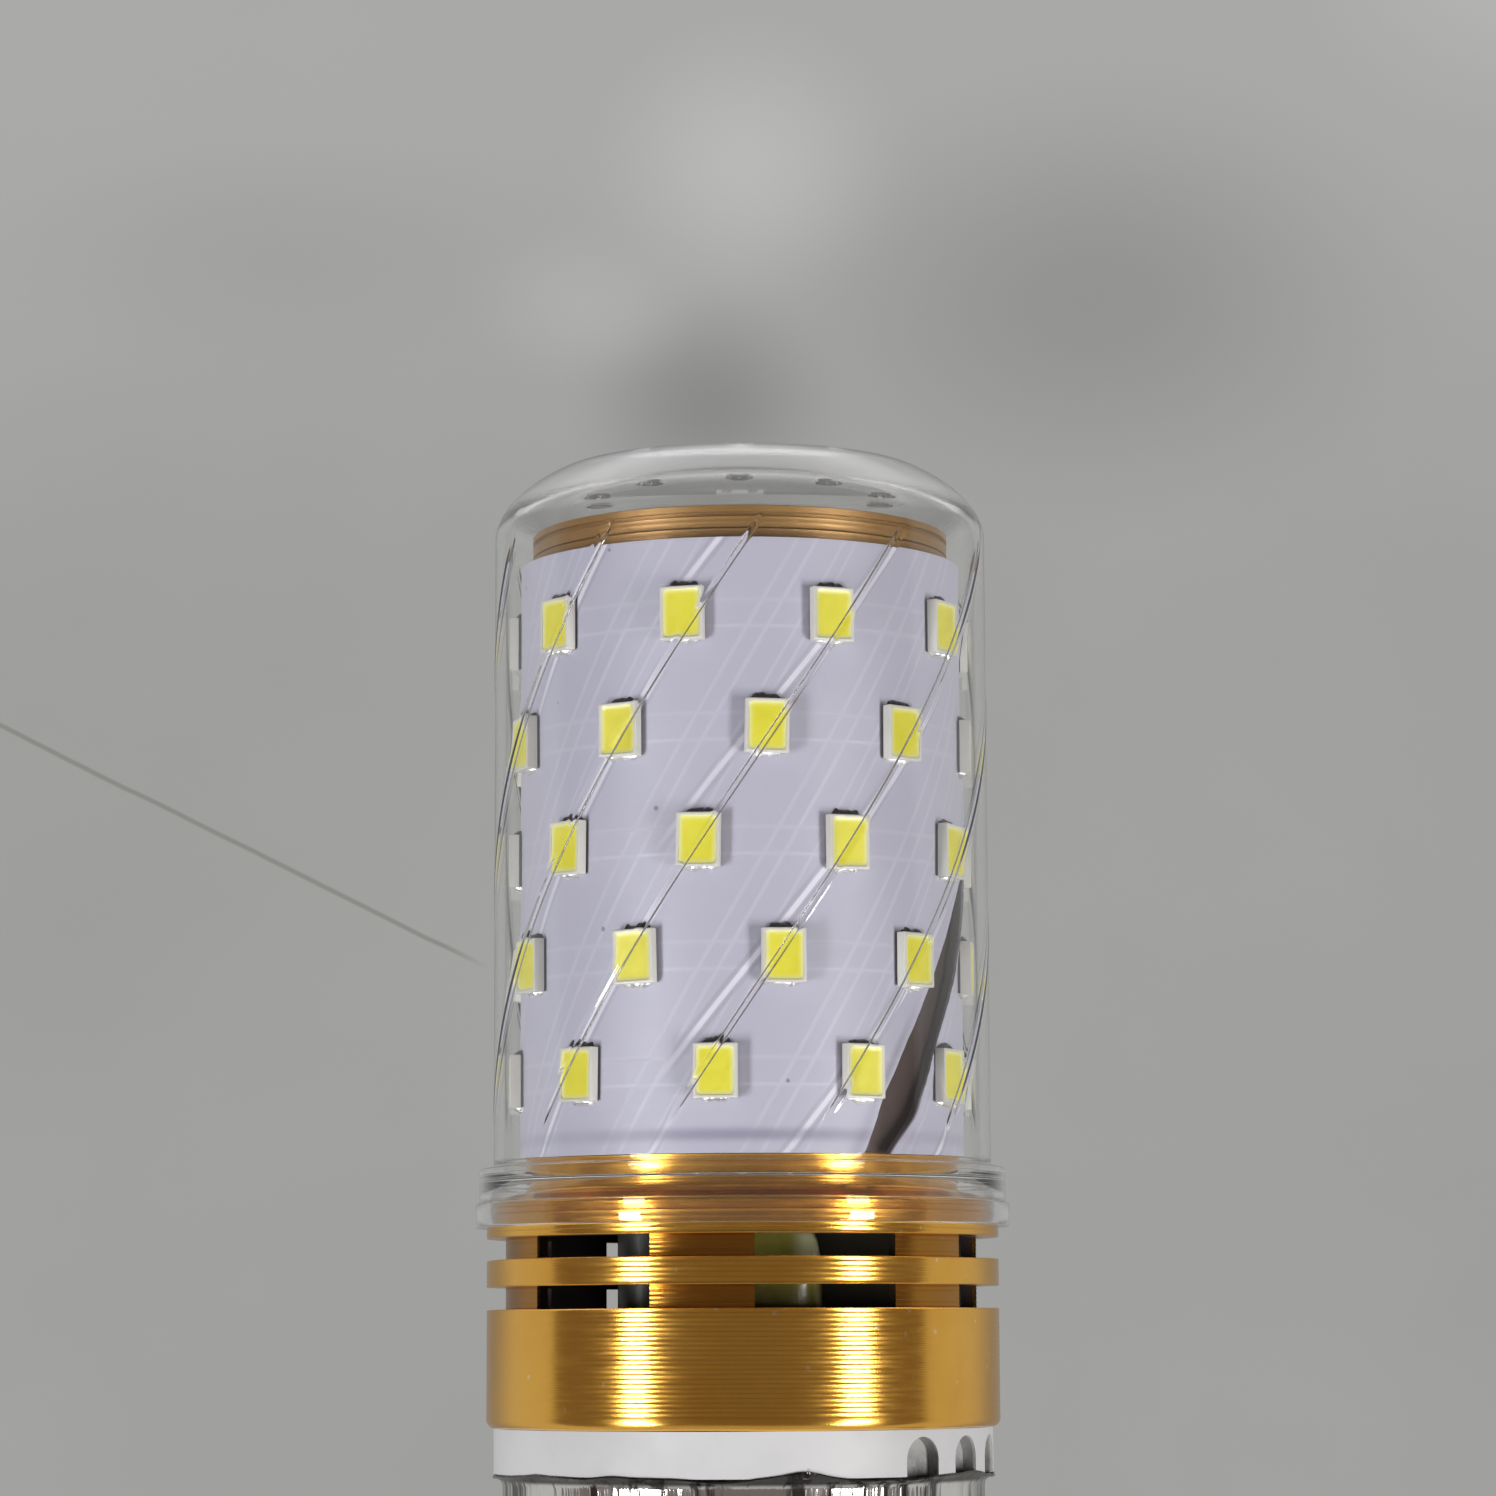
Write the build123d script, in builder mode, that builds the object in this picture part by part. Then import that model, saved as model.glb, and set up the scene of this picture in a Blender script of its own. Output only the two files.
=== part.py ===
from build123d import *
import os
from math import radians, sqrt, tan

os.makedirs("parts", exist_ok=True)

# Corn bulb: a clear cover over a slanted ring of small lamps, on a turned and vented housing,
# with a plastic collar and a screw cap under it. Sizes are in millimetres.
# The bulb stands on its centre contact, its axis is +Z, and its front looks along -Y.
# Angles round the axis are in degrees from the front and grow towards +X.
FRONT = -90

# Fits
slip = 0.05            # play where one piece is pushed into another
wire_play = 0.1        # play round a wire in its hole
overcut = 1.0          # how far a cut runs past what it cuts

# Centre contact and its insulator
contact_radius = 4.7
contact_flat_radius = 2.6
contact_height = 1.6
contact_knee_out = 0.87      # where its side curves most, as a share of its radius
contact_knee_up = 0.33       # the same place, as a share of its height
contact_side_up = 0.85       # where the curve ends, as a share of its height
insulator_neck_radius = 5.6
insulator_radius = 10.6
insulator_cone_height = 3.6
insulator_seat_height = 2.6  # how far it reaches up into the shell

# Screw shell, rolled from sheet
sheet = 0.3
thread_root_radius = 12.1
thread_crest_radius = 13.15
thread_pitch = 3.629
thread_turns = 4.0
foot_taper_height = 1.4      # from the shell's lower edge out to the thread's root
thread_foot_gap = 0.9
neck_radius = 13.4
neck_height = 1.4
flare_height = 1.6
skirt_radius = 15.9
skirt_height = 2.7
lip_radius = 16.5
lip_height = 0.6

# Plastic collar between the cap and the housing
collar_radius = 16.5
collar_height = 2.95
collar_bore_radius = 12.4
collar_foot_depth = 3.1
collar_neck_height = 4.3
scoop_count = 6
scoop_first_angle = 44.0
scoop_spacing = 16.5
scoop_width = 2.9
scoop_height = 2.5
scoop_depth = 1.0
rail_width = 4.0
rail_grip = 0.6              # how far a rail reaches over the driver board's edge

# Turned and vented housing
housing_radius = 17.0
housing_bore_radius = 14.8
band_height = 7.7
band_edge_round = 0.6
vent_height_low = 1.5
ring_height = 1.75
vent_height_high = 1.45
flange_height = 0.7
column_count = 6
column_radius = 15.8
column_first_angle = -9.5
vent_width = 9.6
rim_radius = 16.7
rim_height = 1.45
rim_groove_height = 0.85
rim_groove_width = 0.3
rim_groove_depth = 0.25
shoulder_height = 1.0
shoulder_knee_out = 0.45     # where the shoulder curves most, as a share of its width
shoulder_knee_up = 0.4       # the same place, as a share of its height
ledge_radius = 14.4
ledge_height = 1.85
tube_radius = 14.1
tube_wall = 0.8
tube_height = 41.95
tube_top_radius = 14.0
tube_top_height = 2.3
lip_groove_depth = 0.3
lip_groove_width = 0.25
tube_lip_height = 0.45
wire_notch_width = 3.6
wire_notch_depth = 1.5

# Lamp board wrapped round the tube, with a slanted seam
board_thickness = 0.65
board_play = 0.02
board_height = 39.7
seam_angle = 10.0            # width of the gap, seen from the axis
seam_foot_angle = 35.7       # its middle at the board's lower edge
slant = 2.225                # degrees round the axis for each millimetre up

# Surface-mounted lamps
lamp_rows = 5
lamp_columns = 10
lamp_row_pitch = 7.37
lamp_first_height = 5.27     # lowest row, above the board's lower edge
lamp_column_angle = 36.6
lamp_seam_angle = 17.0       # last lamp of a row, back from the seam's middle
lamp_width = 2.8
lamp_length = 3.5
lamp_thickness = 0.75
lamp_frame = 0.27
lamp_recess = 0.3
lamp_fill = 0.22
lamp_solder_width = 1.9
lamp_solder_size = 0.4

# Clear cover
cover_wall = 0.7
cover_foot_radius = 17.75
cover_foot_height = 1.6
cover_step_radius = 17.5
cover_step_height = 2.3
cover_seat_height = 2.95     # inside, from the cover's foot to the ledge over the rim
cover_body_radius = 16.55
cover_body_height = 42.6
cover_top_radius = 12.3
cover_shoulder_height = 4.27
cover_shoulder_bulge = 0.55
cover_top_thickness = 1.1
spiral_count = 10
spiral_first_angle = -53.0
spiral_foot_height = 6.3     # above the cover's foot
spiral_height = 39.0
spiral_slant = 2.42
spiral_width = 0.8
spiral_depth = 0.25
vent_hole_count = 10
vent_hole_radius = 0.95
vent_hole_circle_radius = 10.2

# Driver board and its parts
driver_width = 16.4
driver_thickness = 1.2
driver_foot = 10.5
driver_height = 37.0
lead_radius = 0.3
lead_reach = 1.2
film_width = 8.6
film_depth = 11.4
film_height = 7.4
film_round = 2.1
film_middle = 1.0
film_below_vents = 1.7
can_radius = 2.45
can_height = 10.5
can_bead_radius = 0.35
rectifier_width = 4.7
rectifier_height = 6.5
rectifier_depth = 2.4
fuse_radius = 1.7
fuse_length = 8.0
fuse_foot = 17.5
resistor_radius = 1.25
resistor_length = 6.4
resistor_foot = 24.0
part_end_round = 0.5
part_clearance = 0.4         # between a part and the collar's rails

# Wires
wire_radius = 0.55
wire_bend = 3.0
wire_pad_height = 4.0        # length of a wire along the board that it is soldered to
neutral_wire_side = 5.6
output_wire_radius = 0.4
output_wire_bend = 3.0
output_wire_fold = 0.85
output_wire_spacing = 1.9
output_wire_wall_play = 0.3

# Heights that follow from the sizes above
insulator_foot = contact_height
shell_foot = insulator_foot + insulator_cone_height
thread_foot = shell_foot + foot_taper_height + thread_foot_gap
neck_foot = thread_foot + thread_pitch * thread_turns
flare_foot = neck_foot + neck_height
skirt_foot = flare_foot + flare_height
lip_foot = skirt_foot + skirt_height
collar_foot = lip_foot + lip_height
band_foot = collar_foot + collar_height
vent_low = band_foot + band_height
ring_foot = vent_low + vent_height_low
vent_high = ring_foot + ring_height
flange_foot = vent_high + vent_height_high
cover_foot = flange_foot + flange_height
rim_top = cover_foot + rim_height
ledge_foot = rim_top + shoulder_height
board_foot = ledge_foot + ledge_height
tube_top = board_foot + tube_height

# Radii that follow
tube_bore_radius = tube_radius - tube_wall
board_inner_radius = tube_radius + board_play
board_outer_radius = board_inner_radius + board_thickness
skirt_bore_radius = skirt_radius - sheet
lamp_face_radius = board_outer_radius + lamp_thickness

# The driver board stands beside the live wire, which is on the axis
driver_front = wire_radius
driver_back = driver_front + driver_thickness
driver_middle = (driver_front + driver_back) / 2
driver_top = driver_foot + driver_height
collar_top = band_foot + collar_neck_height
film_foot = vent_low - film_below_vents
can_foot = collar_top + part_clearance
rectifier_foot = collar_top + part_clearance
board_top = board_foot + board_height
cover_body_foot = cover_foot + cover_foot_height + cover_step_height
cover_shoulder_foot = cover_body_foot + cover_body_height
cover_top = cover_shoulder_foot + cover_shoulder_height


def seam_middle(height):
    """Angle of the board seam's middle at a height above the board's lower edge."""
    return seam_foot_angle + slant * height


def outward(angle, radius, height):
    """A place on the bulb's side whose X axis points away from the bulb's axis."""
    return Location((0, 0, height), (0, 0, FRONT + angle)) * Location((radius, 0, 0))


# Centre contact: a shallow pressed cup
with BuildPart() as centre_contact:
    with BuildSketch(Plane.XZ):
        with BuildLine():
            bottom = Line((0, 0), (contact_flat_radius, 0))
            side = ThreePointArc(
                bottom @ 1,
                (contact_radius * contact_knee_out, contact_height * contact_knee_up),
                (contact_radius, contact_height * contact_side_up),
            )
            Polyline(side @ 1, (contact_radius, contact_height), (0, contact_height), (0, 0))
        make_face()
    revolve(axis=Axis.Z)
centre_contact.part.label = "centre_contact"
export_step(centre_contact.part, "parts/centre_contact.step")

# Insulator: a moulded cone with a hole for the live wire
with BuildPart() as insulator:
    with BuildSketch(Plane.XZ):
        Polygon([
            (wire_radius + wire_play, insulator_foot),
            (insulator_neck_radius, insulator_foot),
            (insulator_radius - slip, shell_foot),
            (insulator_radius - slip, shell_foot + insulator_seat_height),
            (wire_radius + wire_play, shell_foot + insulator_seat_height),
        ])
    revolve(axis=Axis.Z)
insulator.part.label = "insulator"
export_step(insulator.part, "parts/insulator.step")


def rolled_form(inset):
    """The screw shell's solid form, drawn in by the sheet's thickness for its inner side."""
    root = thread_root_radius - inset
    foot = insulator_radius + sheet - inset
    floor = shell_foot - inset
    flare_slope = foot_taper_height / (thread_root_radius - insulator_radius - sheet)
    with BuildPart() as form:
        with BuildSketch(Plane.XZ):
            Polygon([
                (0, floor - thread_pitch),
                (root, floor - thread_pitch),
                (root, neck_foot + thread_pitch),
                (0, neck_foot + thread_pitch),
            ])
        revolve(axis=Axis.Z)
        path = Helix(
            pitch=thread_pitch,
            height=neck_foot - thread_foot + thread_pitch,
            radius=thread_root_radius,
            center=(0, 0, thread_foot - thread_pitch / 2),
            mode=Mode.PRIVATE,
        )
        with BuildSketch(Plane(path @ 0, x_dir=(0, 0, 1), z_dir=path % 0)):
            Circle(thread_crest_radius - thread_root_radius - inset)
        sweep(path=path, is_frenet=True)
        with BuildSketch(Plane.XZ):
            Polygon([
                (0, neck_foot - sheet),
                (root, neck_foot - sheet),
                (neck_radius - inset, neck_foot + sheet),
                (neck_radius - inset, flare_foot),
                (skirt_radius - inset, skirt_foot),
                (skirt_radius - inset, lip_foot + inset),
                (lip_radius - inset, collar_foot + inset),
                (0, collar_foot + inset),
            ])
        revolve(axis=Axis.Z)
        with BuildSketch(Plane.XZ):
            Polygon([
                (0, floor - 2 * thread_pitch),
                (0, floor),
                (foot, floor),
                (skirt_radius, floor + (skirt_radius - foot) * flare_slope),
                (skirt_radius, floor - 2 * thread_pitch),
            ])
        revolve(axis=Axis.Z, mode=Mode.SUBTRACT)
    return form.part


# Screw shell: one sheet, rolled into a right-hand thread and flared into a skirt with a lip
with BuildPart() as screw_shell:
    add(rolled_form(0))
    add(rolled_form(sheet), mode=Mode.SUBTRACT)
screw_shell.part.label = "screw_shell"
export_step(screw_shell.part, "parts/screw_shell.step")

# Collar: a moulded ring with a foot in the cap's skirt, a neck in the housing and two rails
with BuildPart() as collar:
    with BuildSketch(Plane.XZ):
        Polygon([
            (collar_bore_radius, collar_foot - collar_foot_depth),
            (skirt_bore_radius - slip, collar_foot - collar_foot_depth),
            (skirt_bore_radius - slip, collar_foot),
            (collar_radius, collar_foot),
            (collar_radius, band_foot),
            (housing_bore_radius - slip, band_foot),
            (housing_bore_radius - slip, collar_top),
            (collar_bore_radius, collar_top),
        ])
    revolve(axis=Axis.Z)
    rail_foot = collar_foot - collar_foot_depth
    rail_height = collar_top - rail_foot
    rail_inner = driver_width / 2 - rail_grip
    rail_outer = collar_bore_radius + slip
    with BuildSketch(Plane.XY.offset(rail_foot)):
        for side in (-1, 1):
            with Locations((side * (rail_inner + rail_outer) / 2, driver_middle)):
                Rectangle(rail_outer - rail_inner, rail_width)
    extrude(amount=rail_height)
    with BuildSketch(Plane.XY.offset(rail_foot)):
        with Locations((0, driver_middle)):
            Rectangle(driver_width + 2 * slip, driver_thickness + 2 * slip)
    extrude(amount=rail_height, mode=Mode.SUBTRACT)
    for scoop in range(scoop_count):
        place = outward(scoop_first_angle + scoop * scoop_spacing, collar_radius, collar_foot)
        with BuildSketch(Plane(place * Location((0, 0, 0), (0, 90, 0)))):
            with Locations((-(scoop_height - scoop_width / 2), 0)):
                Circle(scoop_width / 2)
            with Locations((-(scoop_height - scoop_width / 2) / 2, 0)):
                Rectangle(scoop_height - scoop_width / 2, scoop_width)
        extrude(amount=scoop_depth, both=True, mode=Mode.SUBTRACT)
collar.part.label = "collar"
export_step(collar.part, "parts/collar.step")

# Housing: one turned tube with two rows of milled vents, a seat for the cover and a long neck
with BuildPart() as housing:
    with BuildSketch(Plane.XZ):
        with BuildLine():
            Polyline(
                (housing_bore_radius, ledge_foot - shoulder_height / 2),
                (housing_bore_radius, band_foot),
                (housing_radius - band_edge_round, band_foot),
            )
            RadiusArc(
                (housing_radius - band_edge_round, band_foot),
                (housing_radius, band_foot + band_edge_round),
                -band_edge_round,
            )
            Polyline(
                (housing_radius, band_foot + band_edge_round),
                (housing_radius, vent_low),
                (column_radius, vent_low),
                (column_radius, ring_foot),
                (housing_radius, ring_foot),
                (housing_radius, vent_high),
                (column_radius, vent_high),
                (column_radius, flange_foot),
                (housing_radius, flange_foot),
                (housing_radius, cover_foot),
                (rim_radius, cover_foot),
                (rim_radius, cover_foot + rim_groove_height),
                (rim_radius - rim_groove_depth, cover_foot + rim_groove_height),
                (rim_radius - rim_groove_depth, cover_foot + rim_groove_height + rim_groove_width),
                (rim_radius, cover_foot + rim_groove_height + rim_groove_width),
                (rim_radius, rim_top),
            )
            ThreePointArc(
                (rim_radius, rim_top),
                (
                    ledge_radius + (rim_radius - ledge_radius) * shoulder_knee_out,
                    rim_top + shoulder_height * shoulder_knee_up,
                ),
                (ledge_radius, ledge_foot),
            )
            Polyline(
                (ledge_radius, ledge_foot),
                (ledge_radius, board_foot),
                (tube_radius, board_foot),
                (tube_radius, tube_top - tube_top_height),
                (tube_top_radius, tube_top - tube_top_height),
                (tube_top_radius, tube_top - tube_lip_height - lip_groove_width),
                (tube_top_radius - lip_groove_depth, tube_top - tube_lip_height - lip_groove_width),
                (tube_top_radius - lip_groove_depth, tube_top - tube_lip_height),
                (tube_top_radius, tube_top - tube_lip_height),
                (tube_top_radius, tube_top),
                (tube_bore_radius, tube_top),
                (tube_bore_radius, ledge_foot - shoulder_height / 2),
                (housing_bore_radius, ledge_foot - shoulder_height / 2),
            )
        make_face()
    revolve(axis=Axis.Z)
    first_vent = FRONT + column_first_angle + 180 / column_count
    vent_reach = housing_radius - tube_bore_radius
    for vent_foot, vent_height in ((vent_low, vent_height_low), (vent_high, vent_height_high)):
        with BuildSketch(Plane.XY.offset(vent_foot)):
            with PolarLocations(tube_bore_radius + vent_reach / 2, column_count, first_vent):
                Rectangle(vent_reach, vent_width)
        extrude(amount=vent_height, mode=Mode.SUBTRACT)
    with BuildSketch(Plane.XY.offset(tube_top - wire_notch_depth)):
        with Locations((0, tube_radius)):
            Rectangle(wire_notch_width, 2 * (tube_wall + overcut))
    extrude(amount=wire_notch_depth, mode=Mode.SUBTRACT)
housing.part.label = "housing"
export_step(housing.part, "parts/housing.step")


def winding_bar(points, angle, foot, height, turn_rate):
    """An upright bar that winds round the bulb's axis; its section is drawn looking outward."""
    plane = Plane.XY.offset(foot).rotated((0, 0, FRONT + angle))
    with BuildSketch(plane) as section:
        Polygon(points)
    return Solid.extrude_linear_with_rotation(
        section.sketch.face(), center=(0, 0, foot), normal=(0, 0, height), angle=turn_rate * height
    )


# Lamp board: a thin sheet wrapped round the tube, whose two ends leave a slanted seam
with BuildPart() as lamp_board:
    with BuildSketch(Plane.XY.offset(board_foot)):
        Circle(board_outer_radius)
        Circle(board_inner_radius, mode=Mode.SUBTRACT)
    extrude(amount=board_height)
    seam_near = board_inner_radius - overcut
    seam_far = board_outer_radius + overcut
    seam_slope = tan(radians(seam_angle / 2))
    seam = winding_bar(
        [
            (seam_near, -seam_near * seam_slope),
            (seam_far, -seam_far * seam_slope),
            (seam_far, seam_far * seam_slope),
            (seam_near, seam_near * seam_slope),
        ],
        seam_middle(-overcut),
        board_foot - overcut,
        board_height + 2 * overcut,
        slant,
    )
    add(seam, mode=Mode.SUBTRACT)
lamp_board.part.label = "lamp_board"
export_step(lamp_board.part, "parts/lamp_board.step")


def lamp_places(row, radius):
    """Where the lamps of a row sit, with X pointing away from the bulb's axis."""
    height = lamp_first_height + row * lamp_row_pitch
    last = seam_middle(height) - lamp_seam_angle
    angles = [last - column * lamp_column_angle for column in range(lamp_columns)]
    return [outward(angle, radius, board_foot + height) for angle in angles]


# Lamps, row by row from the lowest: a moulded case with a window, filled with phosphor
for row in range(lamp_rows):
    window_floor = lamp_face_radius - lamp_recess
    window_width = lamp_width - 2 * lamp_frame
    window_length = lamp_length - 2 * lamp_frame
    seated = (Align.MIN, Align.CENTER, Align.CENTER)
    with BuildPart() as cases:
        with Locations(*lamp_places(row, board_outer_radius)):
            Box(lamp_thickness, lamp_width, lamp_length, align=seated)
        with Locations(*lamp_places(row, window_floor)):
            Box(lamp_thickness, window_width, window_length, align=seated, mode=Mode.SUBTRACT)
    cases.part.label = f"lamp_cases_row_{row + 1}"
    export_step(cases.part, f"parts/{cases.part.label}.step")
    with BuildPart() as phosphor:
        with Locations(*lamp_places(row, window_floor)):
            Box(lamp_fill, window_width, window_length, align=seated)
    phosphor.part.label = f"lamp_phosphor_row_{row + 1}"
    export_step(phosphor.part, f"parts/{phosphor.part.label}.step")

# Solder fillets at the upper and lower end of each lamp
with BuildPart() as lamp_solder:
    for row in range(lamp_rows):
        for place in lamp_places(row, board_outer_radius):
            for end in (-1, 1):
                with BuildSketch(Plane(place * Location((0, 0, 0), (90, 0, 0)))):
                    Polygon([
                        (0, end * lamp_length / 2),
                        (lamp_solder_size, end * lamp_length / 2),
                        (0, end * (lamp_length / 2 + lamp_solder_size)),
                    ])
                extrude(amount=lamp_solder_width / 2, both=True)
lamp_solder.part.label = "lamp_solder"
export_step(lamp_solder.part, "parts/lamp_solder.step")

# Cover: a clear moulded cup with a stepped foot, a bevelled shoulder, vents and winding ridges
with BuildPart() as cover:
    with BuildSketch(Plane.XZ):
        with BuildLine():
            Polyline(
                (0, cover_foot),
                (cover_foot_radius, cover_foot),
                (cover_foot_radius, cover_foot + cover_foot_height),
                (cover_step_radius, cover_foot + cover_foot_height),
                (cover_step_radius, cover_body_foot),
                (cover_body_radius, cover_body_foot),
                (cover_body_radius, cover_shoulder_foot),
            )
            SagittaArc(
                (cover_body_radius, cover_shoulder_foot),
                (cover_top_radius, cover_top),
                -cover_shoulder_bulge,
            )
            Polyline((cover_top_radius, cover_top), (0, cover_top), (0, cover_foot))
        make_face()
    revolve(axis=Axis.Z)
    ridge_foot = cover_foot + spiral_foot_height
    ridge_base = cover_body_radius - spiral_depth
    for ridge in range(spiral_count):
        add(winding_bar(
            [
                (ridge_base, -spiral_width / 2),
                (cover_body_radius, -spiral_width / 2),
                (cover_body_radius + spiral_depth, 0),
                (cover_body_radius, spiral_width / 2),
                (ridge_base, spiral_width / 2),
            ],
            spiral_first_angle + ridge * 360 / spiral_count,
            ridge_foot,
            spiral_height,
            spiral_slant,
        ))
    with BuildSketch(Plane.XZ):
        with BuildLine():
            Polyline(
                (0, cover_foot),
                (rim_radius + slip, cover_foot),
                (rim_radius + slip, cover_foot + cover_seat_height),
                (cover_body_radius - cover_wall, cover_foot + cover_seat_height),
                (cover_body_radius - cover_wall, cover_shoulder_foot),
            )
            SagittaArc(
                (cover_body_radius - cover_wall, cover_shoulder_foot),
                (cover_top_radius - cover_wall, cover_top - cover_top_thickness),
                -cover_shoulder_bulge,
            )
            Polyline(
                (cover_top_radius - cover_wall, cover_top - cover_top_thickness),
                (0, cover_top - cover_top_thickness),
                (0, cover_foot),
            )
        make_face()
    revolve(axis=Axis.Z, mode=Mode.SUBTRACT)
    with BuildSketch(Plane.XY.offset(cover_top)):
        with PolarLocations(vent_hole_circle_radius, vent_hole_count, FRONT):
            Circle(vent_hole_radius)
    extrude(amount=-2 * cover_top_thickness, mode=Mode.SUBTRACT)
cover.part.label = "cover"
export_step(cover.part, "parts/cover.step")

# Driver board: a plain plate that stands in the collar's rails
with BuildPart() as driver_board:
    with BuildSketch(Plane.XY.offset(driver_foot)):
        with Locations((0, driver_middle)):
            Rectangle(driver_width, driver_thickness)
    extrude(amount=driver_height)
driver_board.part.label = "driver_board"
export_step(driver_board.part, "parts/driver_board.step")

# Film capacitor: a dipped block with soft edges that stands off the driver board's front
with BuildPart() as film_capacitor:
    with Locations((film_middle, driver_front, film_foot)):
        Box(film_width, film_depth, film_height, align=(Align.CENTER, Align.MAX, Align.MIN))
    fillet(film_capacitor.edges(), film_round)
film_capacitor.part.label = "film_capacitor"
export_step(film_capacitor.part, "parts/film_capacitor.step")

# Can capacitor: a sleeved can with a rolled bead near its foot
with BuildPart() as can_capacitor:
    can_side = film_middle - film_width / 2 - slip
    can_middle = can_side - can_radius
    with BuildSketch(Plane.XZ.offset(can_radius - driver_front)):
        with BuildLine():
            Polyline(
                (can_side, can_foot + 4 * can_bead_radius),
                (can_side, can_foot + can_height - part_end_round),
                (can_side - part_end_round, can_foot + can_height),
                (can_middle, can_foot + can_height),
                (can_middle, can_foot),
                (can_side, can_foot),
                (can_side, can_foot + 2 * can_bead_radius),
            )
            ThreePointArc(
                (can_side, can_foot + 2 * can_bead_radius),
                (can_side - can_bead_radius, can_foot + 3 * can_bead_radius),
                (can_side, can_foot + 4 * can_bead_radius),
            )
        make_face()
    revolve(axis=Axis((can_middle, driver_front - can_radius, 0), (0, 0, 1)))
can_capacitor.part.label = "can_capacitor"
export_step(can_capacitor.part, "parts/can_capacitor.step")

# Rectifier: a small moulded block on the driver board's back
with BuildPart() as rectifier:
    with Locations((film_middle, driver_back, rectifier_foot)):
        Box(
            rectifier_width, rectifier_depth, rectifier_height,
            align=(Align.CENTER, Align.MIN, Align.MIN),
        )
    chamfer(rectifier.faces().sort_by(Axis.Y)[-1].edges(), part_end_round)
rectifier.part.label = "rectifier"
export_step(rectifier.part, "parts/rectifier.step")


def tube_along(points, radius, bends):
    """A round wire along straight runs joined by arcs."""
    with BuildPart() as tube:
        with BuildLine() as route:
            FilletPolyline(*points, radius=bends)
        with BuildSketch(Plane(route.line @ 0, z_dir=route.line % 0)):
            Circle(radius)
        sweep(path=route.line)
    return tube.part


def leaded_part(name, across, face, side, foot, length, radius):
    """A round part beside the driver board, with both its leads bent into the board."""
    middle = face + side * radius
    with BuildPart() as leaded:
        with BuildSketch(Plane.XY.offset(foot)):
            with Locations((across, middle)):
                Circle(radius)
        extrude(amount=length)
        fillet(leaded.edges(), part_end_round)
        for end, away in ((foot, -1), (foot + length, 1)):
            add(tube_along(
                [
                    (across, middle, end - away * lead_reach),
                    (across, middle, end + away * lead_reach),
                    (across, face, end + away * lead_reach),
                ],
                lead_radius,
                2 * lead_radius,
            ))
    leaded.part.label = name
    export_step(leaded.part, f"parts/{name}.step")
    return leaded


# Fuse resistor in front and bleed resistor behind
leaded_part(
    "fuse_resistor", -neutral_wire_side, driver_front, -1, fuse_foot, fuse_length, fuse_radius
)
leaded_part(
    "bleed_resistor", -film_middle, driver_back, 1, resistor_foot, resistor_length, resistor_radius
)

# Live wire: straight up from the centre contact, along the driver board's front
with BuildPart() as live_wire:
    with BuildSketch(Plane.XY.offset(contact_height)):
        Circle(wire_radius)
    extrude(amount=driver_foot + wire_pad_height - contact_height)
live_wire.part.label = "live_wire"
export_step(live_wire.part, "parts/live_wire.step")

# Neutral wire: from the driver board's front out to the shell's smooth neck
neck_middle = (neck_foot + sheet + flare_foot) / 2
neutral_wire = tube_along(
    [
        (neutral_wire_side, 0, neck_middle - wire_bend - wire_pad_height),
        (neutral_wire_side, 0, neck_middle),
        (neck_radius - sheet, 0, neck_middle),
    ],
    wire_radius,
    wire_bend,
)
neutral_wire.label = "neutral_wire"
export_step(neutral_wire, "parts/neutral_wire.step")

# Output wires: up inside the tube, through the notch in its rim and down onto the lamp board
for name, side in (("output_wire_plus", -1), ("output_wire_minus", 1)):
    across = side * output_wire_spacing / 2
    board_side = driver_back + output_wire_radius
    wall_side = tube_bore_radius - output_wire_wall_play - output_wire_radius
    over = tube_top - wire_notch_depth + output_wire_radius
    outer_side = sqrt(board_outer_radius**2 - across**2) + output_wire_radius + slip
    output_wire = tube_along(
        [
            (across, board_side, driver_top - wire_pad_height),
            (across, board_side, driver_top + 2 * output_wire_bend),
            (across, wall_side, driver_top + 2 * output_wire_bend + wall_side),
            (across, wall_side, over),
            (across, outer_side, over),
            (across, outer_side, board_top - wire_pad_height / 2),
        ],
        output_wire_radius,
        [output_wire_bend, output_wire_bend, output_wire_fold, output_wire_fold],
    )
    output_wire.label = name
    export_step(output_wire, f"parts/{name}.step")
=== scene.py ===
import random
from math import asin, copysign, cos, degrees, exp, hypot, pi, radians, sin, sqrt

import bpy
import bmesh
from mathutils import Matrix, Vector, noise


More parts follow.
